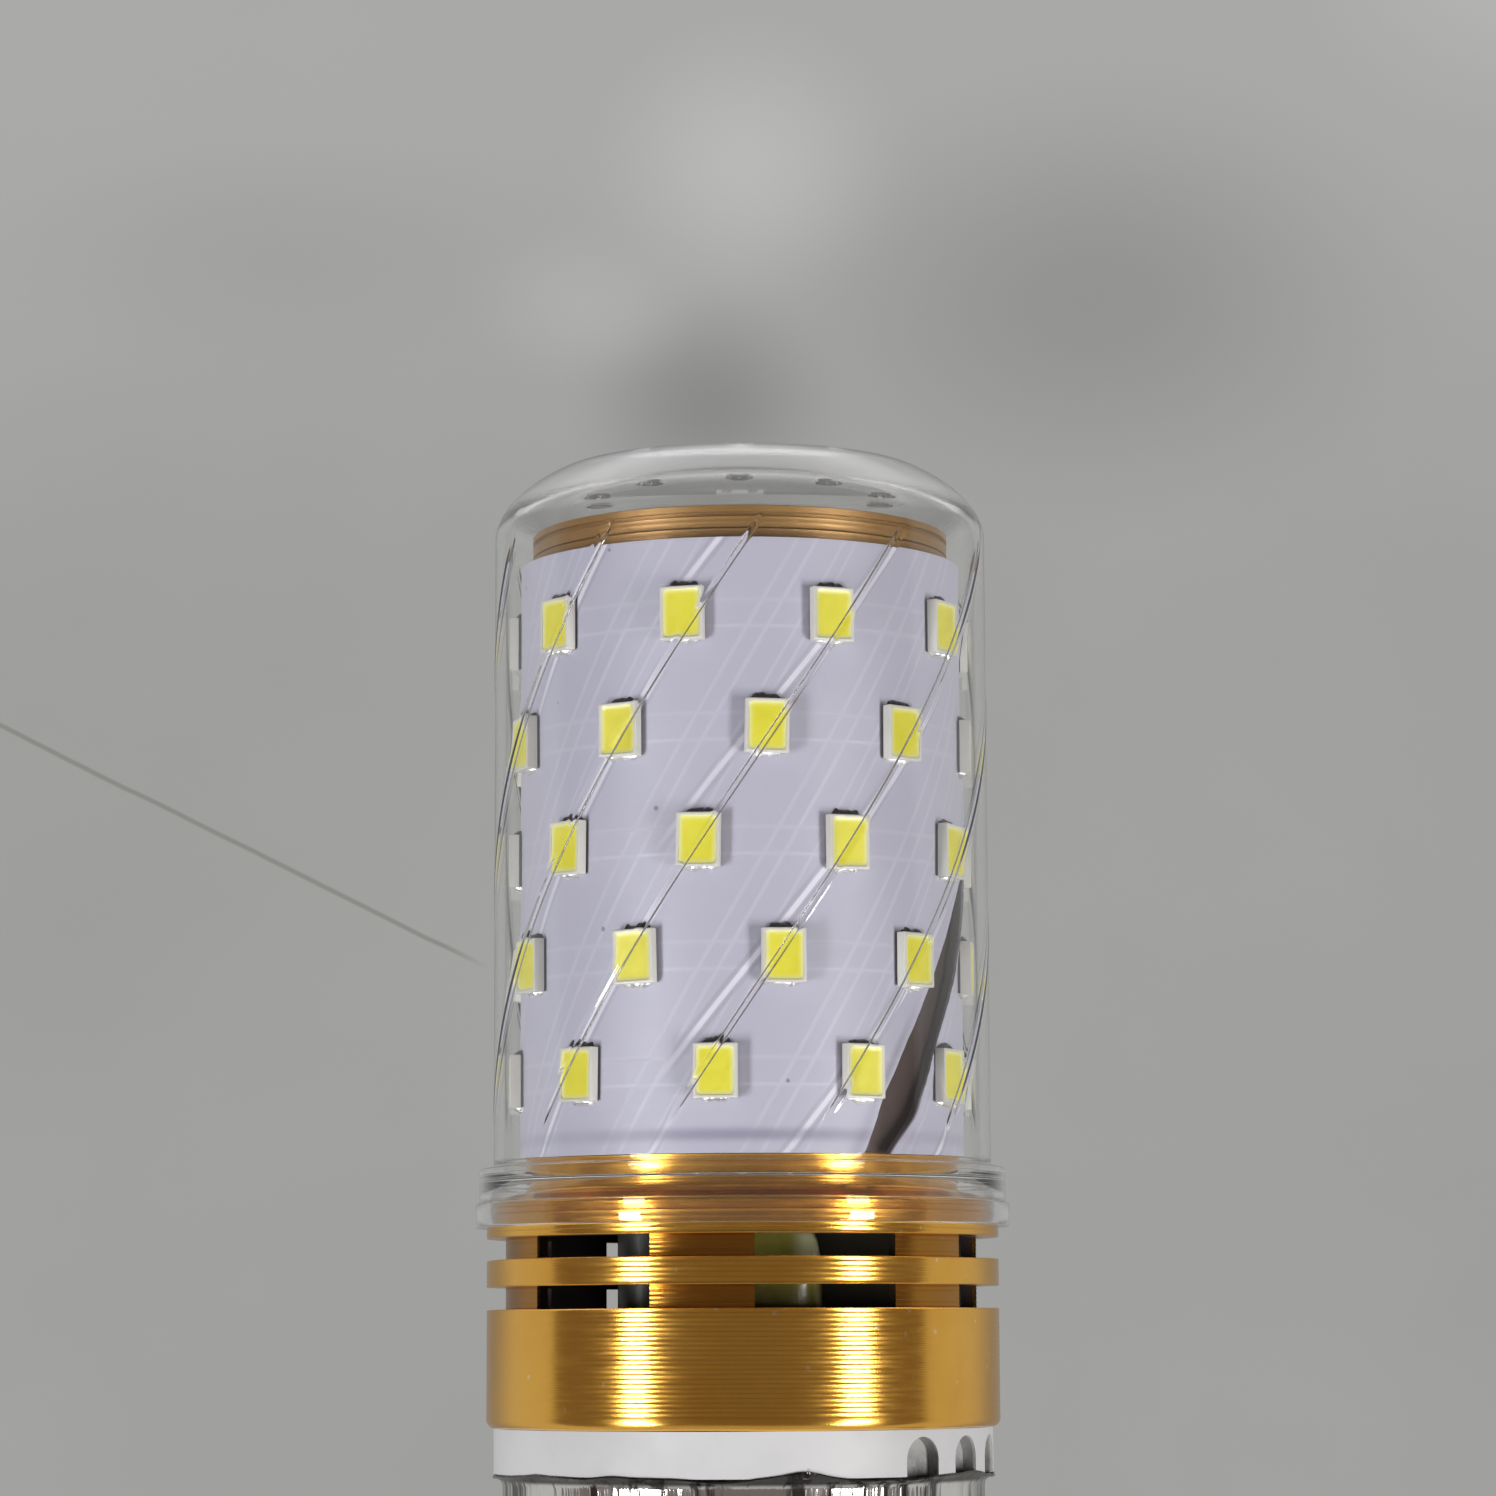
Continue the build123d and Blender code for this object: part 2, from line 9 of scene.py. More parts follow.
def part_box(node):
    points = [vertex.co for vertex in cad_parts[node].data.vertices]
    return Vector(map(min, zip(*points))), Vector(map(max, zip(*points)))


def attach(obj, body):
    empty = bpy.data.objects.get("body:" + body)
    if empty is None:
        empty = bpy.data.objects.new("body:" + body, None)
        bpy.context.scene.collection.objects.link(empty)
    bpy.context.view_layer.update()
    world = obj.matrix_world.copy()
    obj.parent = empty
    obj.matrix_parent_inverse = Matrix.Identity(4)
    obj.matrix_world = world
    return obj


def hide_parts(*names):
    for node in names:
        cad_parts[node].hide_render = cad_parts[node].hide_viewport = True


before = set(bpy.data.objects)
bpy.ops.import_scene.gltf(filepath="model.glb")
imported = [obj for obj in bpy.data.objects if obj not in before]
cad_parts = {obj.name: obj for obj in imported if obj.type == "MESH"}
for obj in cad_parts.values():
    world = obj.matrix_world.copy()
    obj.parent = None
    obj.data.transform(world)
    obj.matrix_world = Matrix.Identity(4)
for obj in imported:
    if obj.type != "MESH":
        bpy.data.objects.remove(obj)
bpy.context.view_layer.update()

# The bulb stands on its centre contact, its axis is +Z and its front looks along -Y.
# Angles round the axis are in degrees from the front and grow towards +X. Sizes are in millimetres.
MM = 0.001
rng = random.Random(11)


def foot_and_top(node):
    """The heights between which a node of the frame stands."""
    low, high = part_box(node)
    return round(low[2] / MM, 3), round(high[2] / MM, 3)


# Heights
SHELL_FOOT, _ = foot_and_top("screw_shell")
THREAD_FOOT = 7.5
NECK_FOOT = 22.016
FLARE_FOOT = 23.416
SKIRT_FOOT = 25.016
LIP_FOOT = 27.716
COLLAR_FOOT = 28.316
BAND_FOOT, TUBE_TOP = foot_and_top("housing")
VENT_LOW = 38.966
RING_FOOT = 40.466
VENT_HIGH = 42.216
FLANGE_FOOT = 43.666
RIM_TOP = 45.816
LEDGE_FOOT = 46.816
BOARD_FOOT, BOARD_TOP = foot_and_top("lamp_board")
COVER_FOOT, COVER_TOP = foot_and_top("cover")
COVER_BODY_FOOT = 48.266
SHOULDER = 90.866

# Radii
HOUSING = 17.0
COLUMN = 15.8
BORE = 14.8
RIM = 16.7
LEDGE = 14.4
TUBE = 14.1
TUBE_RIM = 14.0
TUBE_BORE = 13.3
BOARD_IN = 14.12
BOARD_OUT = 14.77
COLLAR = 16.5
COVER_FOOT_R = 17.75
COVER_STEP_R = 17.5
COVER_R = 16.55
COVER_TOP_R = 12.3
COVER_WALL = 0.7
COVER_ROOF = 1.1

# Posts and vents of the housing
POSTS = 6
POST_FIRST = -9.5
VENT_HALF = 4.8
WIRE_NOTCH_HALF = 1.8

# Lamps, which climb with the seam of their board
SEAM = 35.7
SLANT = 2.225
SEAM_HALF = 5.0
LAMP_ROWS = 5
LAMPS_ROUND = 10
LAMP_FIRST = 5.27
LAMP_PITCH = 7.37
LAMP_STEP = 36.6
LAMP_BACK = 17.0
LAMP_W = 2.8
LAMP_L = 3.5
LAMP_T = 0.75
WINDOW_W = 1.2
WINDOW_L = 1.56

# Ridges and vents of the cover
RIDGES = 10
RIDGE_STEP = 360 / RIDGES
RIDGE_FIRST = -53.0
RIDGE_FOOT = 50.666
RIDGE_TOP = 89.666
RIDGE_SLANT = 2.42
PINS = 10
PIN_RING = 10.2
PIN_R = 0.95

# Cap
THREAD_PITCH = 3.629
THREAD_CORE = 12.1
THREAD_CREST = 13.15
THREAD_ROUND = 1.05
SHELL_END = 10.9
SHELL_NECK = 13.4
SHELL_SKIRT = 15.9
SHELL_WALL = 0.3


def polar(angle, radius, height):
    """A point from its angle round the axis."""
    a = radians(angle)
    return (radius * sin(a), -radius * cos(a), height)


def smoothstep(low, high, x):
    t = min(1.0, max(0.0, (x - low) / (high - low)))
    return t * t * (3 - 2 * t)


def wave(x, y=0.0, z=0.0):
    """Smooth noise between -1 and 1, the same in each run."""
    return noise.noise(Vector((x + 3.7, y + 11.3, z + 7.9)))


# Materials


class Field:
    """What a shader node puts out. Sums, products and steps of it add nodes of their own."""

    def __init__(self, nodes, socket):
        self.nodes = nodes
        self.socket = socket

    def math(self, operation, *others):
        return self.nodes.math(operation, self, *others)

    def __add__(self, other):
        return self.math("ADD", other)

    def __sub__(self, other):
        return self.math("SUBTRACT", other)

    def __rsub__(self, other):
        return self.nodes.math("SUBTRACT", other, self)

    def __mul__(self, other):
        return self.math("MULTIPLY", other)

    def __truediv__(self, number):
        return self.math("MULTIPLY", 1 / number)

    def __abs__(self):
        return self.math("ABSOLUTE")

    def larger(self, other):
        return self.math("MAXIMUM", other)

    def off_grid(self, pitch):
        """How far the value is past the nearest multiple of a pitch."""
        return ((self / pitch + 0.5).math("FRACT") - 0.5) * pitch

    def between(self, low, high, to_low=0.0, to_high=1.0):
        """A smooth change from to_low, where the value is low, to to_high, where it is high."""
        given = dict(enumerate((self, low, high, to_low, to_high)))
        return self.nodes.output("MapRange", 0, given, interpolation_type="SMOOTHSTEP")


class Nodes:
    """A node tree, with short ways to add to it."""

    def __init__(self, tree):
        self.tree = tree

    def put(self, given, socket):
        """Gives a socket a field, a number or a colour."""
        if isinstance(given, Field):
            self.tree.links.new(given.socket, socket)
        elif socket.type == "RGBA":
            socket.default_value = (*given, 1)
        else:
            socket.default_value = given

    def output(self, kind, name, given=None, **settings):
        """An output of a new node, with what its inputs are given by their names or places."""
        made = self.tree.nodes.new("ShaderNode" + kind)
        for key, value in settings.items():
            setattr(made, key, value)
        for key, value in (given or {}).items():
            self.put(value, made.inputs[key])
        return Field(self, made.outputs[name])

    def math(self, operation, *values):
        return self.output("Math", 0, dict(enumerate(values)), operation=operation)

    def mix(self, factor, first, second):
        """A colour between two, from the first at factor 0 to the second at 1."""
        # A mix node's colours are its inputs 6 and 7 and its output 2
        return self.output("Mix", 2, {0: factor, 6: first, 7: second}, data_type="RGBA")

    def split(self, vector):
        """A vector's three parts."""
        return [self.output("SeparateXYZ", axis, {0: vector}) for axis in "XYZ"]

    def ray(self, kind):
        """1 for rays of a kind, and 0 for others."""
        return self.output("LightPath", f"Is {kind} Ray")

    def attribute(self, name, part="Fac"):
        return self.output("Attribute", part, attribute_name=name)

    def object_point(self, scale=(1, 1, 1)):
        point = self.output("TexCoord", "Object")
        return self.output("Mapping", 0, {"Vector": point, "Scale": scale})

    def radius_and_height(self):
        """Distance from the axis and height, in millimetres."""
        x, y, z = self.split(self.output("TexCoord", "Object"))
        return (x * x + y * y).math("SQRT") / MM, z / MM

    def noise(self, scale, detail=3.0, roughness=0.5, point=None, squeeze=1):
        """Noise of the object, squeezed along the axis, or drawn out along it by less than 1."""
        point = point or self.object_point((1, 1, squeeze))
        given = {"Vector": point, "Scale": scale, "Detail": detail, "Roughness": roughness}
        return self.output("TexNoise", "Fac", given)

    def specks(self, scale, size, soft_size, strength):
        """Small round spots of a strength, scattered at random."""
        given = {"Vector": self.object_point(), "Scale": scale}
        distance = self.output("TexVoronoi", "Distance", given)
        return distance.between(size, soft_size, strength, 0.0)


class Paint(Nodes):
    """A material with one Principled shader."""

    def __init__(self, name, color, roughness, **sockets):
        self.material = bpy.data.materials.new(name)
        self.material.use_nodes = True
        super().__init__(self.material.node_tree)
        self.shader = self.tree.nodes["Principled BSDF"]
        self.color = color
        self.set(Base_Color=color, Roughness=roughness, **sockets)

    def set(self, **sockets):
        for key, given in sockets.items():
            self.put(given, self.shader.inputs[key.replace("_", " ")])

    def lay(self, share, shade):
        """Lays a shade over the colour, by a share from 0 to 1."""
        self.color = self.mix(share, self.color, shade)
        self.set(Base_Color=self.color)

    def lay_clouds(self, shade, scale=160):
        """Lays a shade over the colour in soft patches."""
        self.lay(self.noise(scale, 4, 0.6).between(0.35, 0.65), shade)

    def roughness(self, source, low, high):
        self.set(Roughness=source.between(0.3, 0.7, low, high))

    def bump(self, height, distance):
        """Relief, with the distance in millimetres."""
        given = {"Height": height, "Distance": distance * MM}
        self.set(Normal=self.output("Bump", 0, given))

    def let_through(self, share, color=(1, 1, 1)):
        """Lets a share of the rays pass straight on."""
        shader = Field(self, self.shader.outputs[0])
        clear = self.output("BsdfTransparent", 0, {"Color": color})
        blend = self.output("MixShader", 0, {0: share, 1: shader, 2: clear})
        self.put(blend, self.tree.nodes["Material Output"].inputs["Surface"])


def brass_material():
    """Brass with fine marks and dull patches."""
    paint = Paint("contact_brass", (0.82, 0.62, 0.33), 0.3, Metallic=1.0)
    paint.lay_clouds((0.656, 0.496, 0.264), 180)
    paint.roughness(paint.noise(420, 5, 0.6), 0.225, 0.405)
    paint.bump(paint.noise(900, 3, 0.6), 0.03)
    return paint.material


def plastic(name, color, roughness, grain, depth, tint):
    """A moulded or dipped plastic: faint clouding and a fine skin."""
    paint = Paint(name, color, roughness)
    paint.lay_clouds(tuple(c * (1 - tint) for c in color))
    paint.roughness(paint.noise(500, 4), roughness * 0.8, roughness * 1.3)
    paint.bump(paint.noise(grain, 4, 0.55), depth)
    return paint.material


def collar_material():
    """White moulding, smeared and specked, with rough scoops painted grey for their shade, lighter
    towards their top.
    """
    paint = Paint("collar_white", (0.64, 0.64, 0.65), 0.4)
    out, z = paint.radius_and_height()
    cloud = paint.noise(160, 4, 0.6)
    paint.lay(cloud.between(0.35, 0.65), (0.60, 0.60, 0.615))
    smear = paint.noise(70, 6, 0.75, squeeze=0.4)
    paint.lay(smear.between(0.6, 0.8, 0.0, 0.35), (0.48, 0.47, 0.46))
    grain = paint.noise(900, 5, 0.75)
    # Painted shade in the scoops, darkest at their foot and paler higher up
    scoop_shade = paint.mix(grain.between(0.35, 0.65), (0.17, 0.165, 0.16), (0.36, 0.355, 0.35))
    pale = paint.mix(grain, (0.33, 0.325, 0.32), (0.5, 0.495, 0.49))
    scoop_shade = paint.mix(z.between(COLLAR_FOOT + 0.2, COLLAR_FOOT + 2.2), scoop_shade, pale)
    inside = out.between(COLLAR - 0.03, COLLAR - 0.25)
    paint.lay(inside, scoop_shade)
    paint.lay(paint.specks(420, 0.03, 0.06, 0.5), (0.3, 0.29, 0.28))
    paint.roughness(cloud, 0.46, 0.62)
    paint.bump(paint.noise(700, 4, 0.55) * 0.2 + grain * inside, 0.07)
    return paint.material


def gold_material():
    """Anodised and turned aluminium, darker where no light falls."""
    paint = Paint("gold_aluminium", (1.0, 0.56, 0.105), 0.2, Metallic=1.0)
    out, z = paint.radius_and_height()
    cloud = paint.noise(140, 4, 0.6)
    streak = paint.noise(60, 5, 0.7, squeeze=60)
    paint.lay(cloud.between(0.35, 0.7), (0.93, 0.49, 0.085))
    paint.lay(streak.between(0.62, 0.75, 0.0, 0.35), (1.0, 0.68, 0.22))
    paint.lay(paint.specks(520, 0.06, 0.1, 0.45), (1.0, 0.85, 0.55))

    # Painted shade on the posts between the vents, set back from the band; the neck's free end is
    # browner
    post_shade = out.between(COLUMN + 0.2, COLUMN + 0.1, 0.0, 0.75)
    post_shade = post_shade * z.between(LEDGE_FOOT - 0.4, LEDGE_FOOT - 0.5)
    paint.lay(post_shade, (0.26, 0.10, 0.015))
    end = z.between(BOARD_TOP - 0.3, BOARD_TOP)
    paint.lay(end, paint.mix(cloud, (0.24, 0.12, 0.03), (0.42, 0.235, 0.065)))

    # Painted shade: under the lamp board, behind the posts and inside the neck the metal is painted
    # dark and dull, where little light reaches
    neck = z.between(BOARD_FOOT, BOARD_FOOT + 0.1) * z.between(BOARD_TOP, BOARD_TOP - 0.1)
    behind = out.between(COLUMN - 0.12, COLUMN - 0.3)
    behind = behind * z.between(FLANGE_FOOT + 0.6, FLANGE_FOOT + 0.4)
    inside = out.between(TUBE_BORE + 0.12, TUBE_BORE + 0.04)
    dull_shade = neck.larger(behind).larger(inside)
    paint.lay(dull_shade, (0.06, 0.04, 0.036))
    # It is redder where the cover's foot sits round it
    seated = z.between(COVER_FOOT, COVER_FOOT + 0.1) * z.between(BOARD_FOOT, BOARD_FOOT - 1.6)
    paint.lay(seated * 0.4, (0.45, 0.16, 0.012))

    rough = paint.noise(300, 5, 0.6, squeeze=8).between(0.3, 0.7, 0.17, 0.26)
    paint.set(
        Metallic=1.0 - (dull_shade * 0.9).larger(end * 0.6),
        Roughness=rough + dull_shade.larger(end) * 0.25,
        Anisotropic=0.75,
        Anisotropic_Rotation=0.25,
        Tangent=paint.output("Tangent", 0, direction_type="RADIAL", axis="Z"),
    )
    paint.bump(paint.noise(260, 5, 0.65, squeeze=30), 0.004)
    return paint.material


def traces(height, along):
    """Copper under the lacquer: a band across at each row, and one up the slant between lamps."""
    row = abs((height - LAMP_FIRST).off_grid(LAMP_PITCH))
    across = row.between(0.66, 0.8) - row.between(0.92, 1.06)
    column = (along + (LAMP_BACK + LAMP_STEP / 2)).off_grid(LAMP_STEP) * radians(BOARD_OUT)
    left = abs(column + 1.1)
    left_line = left.between(0.44, 0.56) - left.between(0.72, 0.88)
    right = abs(column - 1.9)
    right_line = right.between(0.26, 0.4) - right.between(0.5, 0.64)
    lines = left_line.larger(right_line).larger(across * 0.8)
    relief = (1.0 - left.between(0.5, 0.7)).larger(1.0 - row.between(0.72, 0.92))
    return lines, relief


def lay_streaks(paint, angle, height):
    """Painted light that the ridges throw on the board from the lamps on its left and right, with
    painted shade beside it.
    """
    climb = (height - (RIDGE_FOOT - BOARD_FOOT)) * RIDGE_SLANT
    past_ridge = angle - RIDGE_FIRST - climb
    arc = radians(BOARD_OUT)
    left, right = (1, -48.0, 0.012, 0.62, 20.0), (-1, 54.0, 0.058, 1.6, 62.0)
    for side, lamp, gain, offset, fade in (left, right):
        tilt = (angle - lamp) * side
        shift = (tilt * gain - offset) * (side / arc)
        beside = abs((past_ridge - shift).off_grid(RIDGE_STEP) * arc)
        reach = tilt.between(-35, 0) * tilt.between(fade + 16, fade)
        reach = reach * paint.noise(110, 2, 0.5).between(0.25, 0.6, 0.45, 1.0)
        bright = beside.between(0.21, 0.11) * reach
        flank_shade = abs(beside - 0.36).between(0.2, 0.04) * reach
        # Painted shade on both flanks of each streak, then the painted streak of light
        paint.lay(flank_shade * 0.5, (0.36, 0.35, 0.43))
        paint.lay(bright * 0.9, (0.86, 0.85, 0.97))


def board_material():
    """White lacquer over copper traces, with painted streaks of light and painted shade along its
    foot.
    """
    paint = Paint("board_white", (0.54, 0.53, 0.65), 0.42)
    angle, height, along = paint.split(paint.attribute("wrap", "Vector"))
    angle = angle.off_grid(360)
    cloud = paint.noise(120, 4, 0.6)
    paint.lay(cloud.between(0.3, 0.7), (0.51, 0.505, 0.625))
    smear = paint.noise(35, 5, 0.7, squeeze=3)
    paint.lay(smear.between(0.55, 0.75, 0.0, 0.5), (0.575, 0.565, 0.67))
    lines, relief = traces(height, along)
    paint.lay(lines * 0.5, (0.63, 0.625, 0.74))
    lay_streaks(paint, angle, height)

    # Painted shade along the board's foot, strongest at the front
    foot = abs(height - 1.25).between(0.7, 0.05, 0.0, 0.72) * cloud.between(0.2, 0.6, 0.55, 1.0)
    foot = foot * abs(angle).between(50, 15, 0.4, 1.0)
    paint.lay(foot, (0.25, 0.23, 0.34))
    paint.lay(paint.specks(300, 0.035, 0.06, 0.7), (0.13, 0.12, 0.12))
    # The board's core is painted near-black, for its laminate and for the shade in the seam's gap
    paint.lay(paint.attribute("core").between(0.15, 0.6), (0.075, 0.055, 0.058))
    paint.roughness(cloud, 0.36, 0.5)
    paint.bump(relief + paint.noise(700, 4, 0.6) * 0.35, 0.008)
    return paint.material


def phosphor_material():
    """Yellow filling, paler where it creeps up the window's edge."""
    paint = Paint("phosphor_yellow", (0.88, 0.86, 0.33), 0.38)
    grain = paint.noise(1500, 4, 0.7)
    cloud = paint.noise(380, 3, 0.6).between(0.35, 0.65)
    deep = paint.mix(cloud, (0.86, 0.79, 0.035), (0.80, 0.73, 0.02))
    deep = paint.mix(grain.between(0.3, 0.7, 0.0, 0.35), deep, (0.90, 0.85, 0.09))
    paint.lay(paint.attribute("inward").between(0.0, 1.0), deep)
    paint.roughness(grain, 0.3, 0.45)
    paint.bump(grain, 0.012)
    return paint.material


def case_material():
    """White moulding, with painted shade in the narrow gap that it leaves over the board."""
    paint = Paint("lamp_case", (0.72, 0.71, 0.66), 0.45)
    paint.lay_clouds((0.67, 0.66, 0.61))
    # Painted near-black shade in the gap
    paint.lay(paint.attribute("gap").between(0.0, 0.6), (0.018, 0.016, 0.02))
    paint.roughness(paint.noise(500, 4), 0.36, 0.58)
    paint.bump(paint.noise(1400, 4, 0.55), 0.01)
    return paint.material


def solder_material():
    """Solder, painted near-black on the upper fillets for the shade and dark reflection there."""
    paint = Paint("solder", (0.88, 0.87, 0.85), 0.34, Metallic=1.0)
    paint.lay_clouds((0.78, 0.77, 0.75), 180)
    # Painted shade and dark reflection on the upper fillets
    paint.lay(paint.attribute("flux"), (0.022, 0.02, 0.022))
    paint.roughness(paint.noise(420, 5, 0.6), 0.26, 0.46)
    paint.bump(paint.noise(1600, 3, 0.6), 0.05)
    return paint.material


def chrome_material():
    """Plated cap. Its skirt carries fine upright ribs with painted dark reflections in their
    grooves, and its lip is painted dark as shadow.
    """
    paint = Paint("cap_chrome", (0.86, 0.85, 0.82), 0.12, Metallic=1.0)
    paint.lay_clouds((0.79, 0.78, 0.75), 180)
    _, z = paint.radius_and_height()
    skirt = z.between(SKIRT_FOOT + 0.1, SKIRT_FOOT + 0.6)
    ribs_and_painted_reflection = paint.noise(520, 4, 0.7, squeeze=0.05)
    # Painted dark reflections in the skirt's grooves
    paint.lay(ribs_and_painted_reflection.between(0.5, 0.58) * skirt * 0.9, (0.07, 0.065, 0.065))
    # Painted shadow along the lip
    lip = z.between(LIP_FOOT + 0.02, LIP_FOOT + 0.3)
    paint.lay(lip * 0.9, (0.045, 0.04, 0.04))
    paint.roughness(paint.noise(420, 5, 0.6), 0.09, 0.16)
    waves = paint.noise(120, 3, 0.6, squeeze=0.25)
    paint.bump(waves + ribs_and_painted_reflection * skirt * 0.5, 0.35)
    return paint.material


def film_material():
    """Green dip coat, painted lighter than its own colour for the light through the vents, with
    painted shade towards its foot and a painted highlight over its right edge.
    """
    paint = Paint("film_green", (0.86, 0.78, 0.19), 0.3)
    paint.lay_clouds((0.66, 0.58, 0.11))
    x, _, z = paint.split(paint.object_point((1 / MM, 1 / MM, 1 / MM)))
    # Painted highlight over the right edge
    painted_highlight = x.between(2.9, 4.0) * z.between(41.0, 42.2)
    paint.lay(painted_highlight, (1.0, 0.98, 0.55))
    # Painted shade towards the foot
    paint.lay(z.between(41.6, 40.2, 0.0, 0.8), (0.14, 0.12, 0.015))
    paint.roughness(paint.noise(500, 4), 0.25, 0.4)
    paint.bump(paint.noise(500, 4, 0.55), 0.08)
    return paint.material


def cover_material(name, milk):
    """Clear moulded plastic, milky seen aslant and by its top. Lamp light passes straight on."""
    paint = Paint(name, (0.985, 0.99, 0.985), 0.0, IOR=1.49)
    _, z = paint.radius_and_height()
    band = z.between(SHOULDER + 0.9, SHOULDER + 1.9, 0.0, milk)
    aslant = paint.output("LayerWeight", "Facing").between(0.62, 1.0)
    edge = aslant * z.between(COVER_BODY_FOOT + 0.4, COVER_BODY_FOOT, 0.32, 0.6)
    paint.set(Transmission_Weight=1.0 - (band + edge + 0.006))
    paint.set(Roughness=paint.noise(90, 5, 0.65).between(0.5, 0.8, 0.0, 0.035))
    paint.bump(paint.noise(55, 3, 0.5, squeeze=0.12), 0.03)
    paint.let_through(paint.ray("Shadow").larger(paint.ray("Diffuse")), (0.97, 0.97, 0.97))
    return paint.material


PAINTS = {
    "gold_aluminium": gold_material(),
    "board_white": board_material(),
    "phosphor_yellow": phosphor_material(),
    "clear_cover": cover_material("clear_cover", 0.0),
    "clear_cover_edge": cover_material("clear_cover_edge", 0.44),
    "lamp_case": case_material(),
    "solder": solder_material(),
    "cap_chrome": chrome_material(),
    "contact_brass": brass_material(),
    "collar_white": collar_material(),
    "film_green": film_material(),
}
PLASTICS = {
    "insulator_black": ((0.02, 0.02, 0.024), 0.25, 300, 0.03, 0.3),
    "driver_laminate": ((0.05, 0.042, 0.024), 0.5, 1200, 0.02, 0.25),
    "can_sleeve": ((0.12, 0.125, 0.115), 0.42, 700, 0.03, 0.2),
    "moulded_black": ((0.022, 0.022, 0.024), 0.5, 1500, 0.03, 0.25),
    "fuse_body": ((0.16, 0.32, 0.22), 0.4, 600, 0.04, 0.2),
    "resistor_body": ((0.55, 0.42, 0.27), 0.4, 600, 0.04, 0.15),
    "wire_red": ((0.55, 0.03, 0.02), 0.4, 500, 0.02, 0.15),
    "wire_black": ((0.022, 0.022, 0.024), 0.42, 500, 0.02, 0.25),
}
for name, look in PLASTICS.items():
    PAINTS[name] = plastic(name, *look)

# Every node of the frame takes its slot's finish
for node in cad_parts.values():
    slot = node.data.materials[0].name.split(".")[0]
    node.material_slots[0].link = "OBJECT"
    node.material_slots[0].material = PAINTS[slot]


# Meshes


def mesh_object(name, points, faces):
    """An object in the row frame, made from points in millimetres."""
    mesh = bpy.data.meshes.new(name)
    mesh.from_pydata([tuple(c * MM for c in p) for p in points], [], faces)
    obj = bpy.data.objects.new(name, mesh)
    bpy.context.scene.collection.objects.link(obj)
    return obj


def piece(name, node, slot, points, faces, sharp=32, **attributes):
    """A finished piece in place of a node. Attributes hold a value for each point."""
    obj = mesh_object(name, points, faces)
    mesh = obj.data
    for key, values in attributes.items():
        if isinstance(values[0], tuple):
            attribute = mesh.attributes.new(key, "FLOAT_VECTOR", "POINT")
            attribute.data.foreach_set("vector", [c for v in values for c in v])
        else:
            attribute = mesh.attributes.new(key, "FLOAT", "POINT")
            attribute.data.foreach_set("value", values)
    work = bmesh.new()
    work.from_mesh(mesh)
    bmesh.ops.recalc_face_normals(work, faces=work.faces)
    work.to_mesh(mesh)
    work.free()
    mesh.polygons.foreach_set("use_smooth", [True] * len(mesh.polygons))
    mesh.set_sharp_from_angle(angle=radians(sharp))
    mesh.materials.append(PAINTS[slot])
    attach(obj, "root")
    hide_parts(node)
    return obj


def grid_faces(rows, columns, start=0, close_rows=False, close_columns=True):
    """Four-sided faces between neighbouring rows of points."""
    faces = []
    for i in range(rows if close_rows else rows - 1):
        a, b = start + i * columns, start + (i + 1) % rows * columns
        for j in range(columns if close_columns else columns - 1):
            k = (j + 1) % columns
            faces.append((a + j, a + k, b + k, b + j))
    return faces


def skin_faces(rows, columns, start=0):
    """Faces of a closed skin: rows of points, and a flat face over the first row and the last."""
    last = start + (rows - 1) * columns
    ends = [tuple(reversed(range(start, start + columns))), tuple(range(last, last + columns))]
    return grid_faces(rows, columns, start) + ends


def turned(profile, wobble=0.0, first=None, last=None):
    """Points and faces of a closed outline turned round the axis, whole or between two angles."""
    columns = 300
    whole = first is None
    if whole:
        angles = [360 * j / columns for j in range(columns)]
    else:
        angles = [first + (last - first) * j / (columns - 1) for j in range(columns)]
    points = []
    for radius, height in profile:
        for angle in angles:
            a = radians(angle)
            lift = wobble * wave(2.2 * sin(a), 2.2 * cos(a), height * 0.35)
            points.append(polar(angle, radius, height + lift))
    faces = grid_faces(len(profile), columns, close_rows=True, close_columns=whole)
    if not whole:
        faces.append(tuple(i * columns for i in range(len(profile))))
        faces.append(tuple(i * columns + columns - 1 for i in reversed(range(len(profile)))))
    return points, faces


RIB_PITCH = 0.3
RIB_DEPTH = 0.026
RIB_STEPS = 5
BROKEN_EDGE = 0.06


def ribs(radius, low, high):
    """The shallow scallops that a turning tool leaves up a wall, between two broken edges."""
    height = high - low - 2 * BROKEN_EDGE
    total = max(1, round(height / RIB_PITCH)) * RIB_STEPS
    points = [(radius - BROKEN_EDGE, low)]
    for i in range(total + 1):
        t = i % RIB_STEPS / RIB_STEPS
        rise = low + BROKEN_EDGE + height * i / total
        points.append((radius - RIB_DEPTH * 4 * t * (1 - t), rise))
    return points + [(radius - BROKEN_EDGE, high)]


def corner(center_r, center_z, radius, start, stop, steps=5):
    """Points of a round corner between two directions in degrees."""
    points = []
    for i in range(steps + 1):
        a = radians(start + (stop - start) * i / steps)
        points.append((center_r + radius * cos(a), center_z + radius * sin(a)))
    return points


# Housing
HOLLOW_TOP = LEDGE_FOOT - 0.5
NECK_STEP = TUBE_TOP - 2.3
NOTCH_FOOT = TUBE_TOP - 1.5

band = [(BORE, BAND_FOOT)]
band += corner(HOUSING - 0.6, BAND_FOOT + 0.6, 0.6, -90, -8, 7)
band += ribs(HOUSING, BAND_FOOT + 0.75, VENT_LOW)[1:]
band += [(BORE, VENT_LOW)]
piece("housing_band", "housing", "gold_aluminium", *turned(band, 0.05))

ring = [(BORE, RING_FOOT), *ribs(HOUSING, RING_FOOT, VENT_HIGH), (BORE, VENT_HIGH)]
piece("housing_ring", "housing", "gold_aluminium", *turned(ring, 0.04))

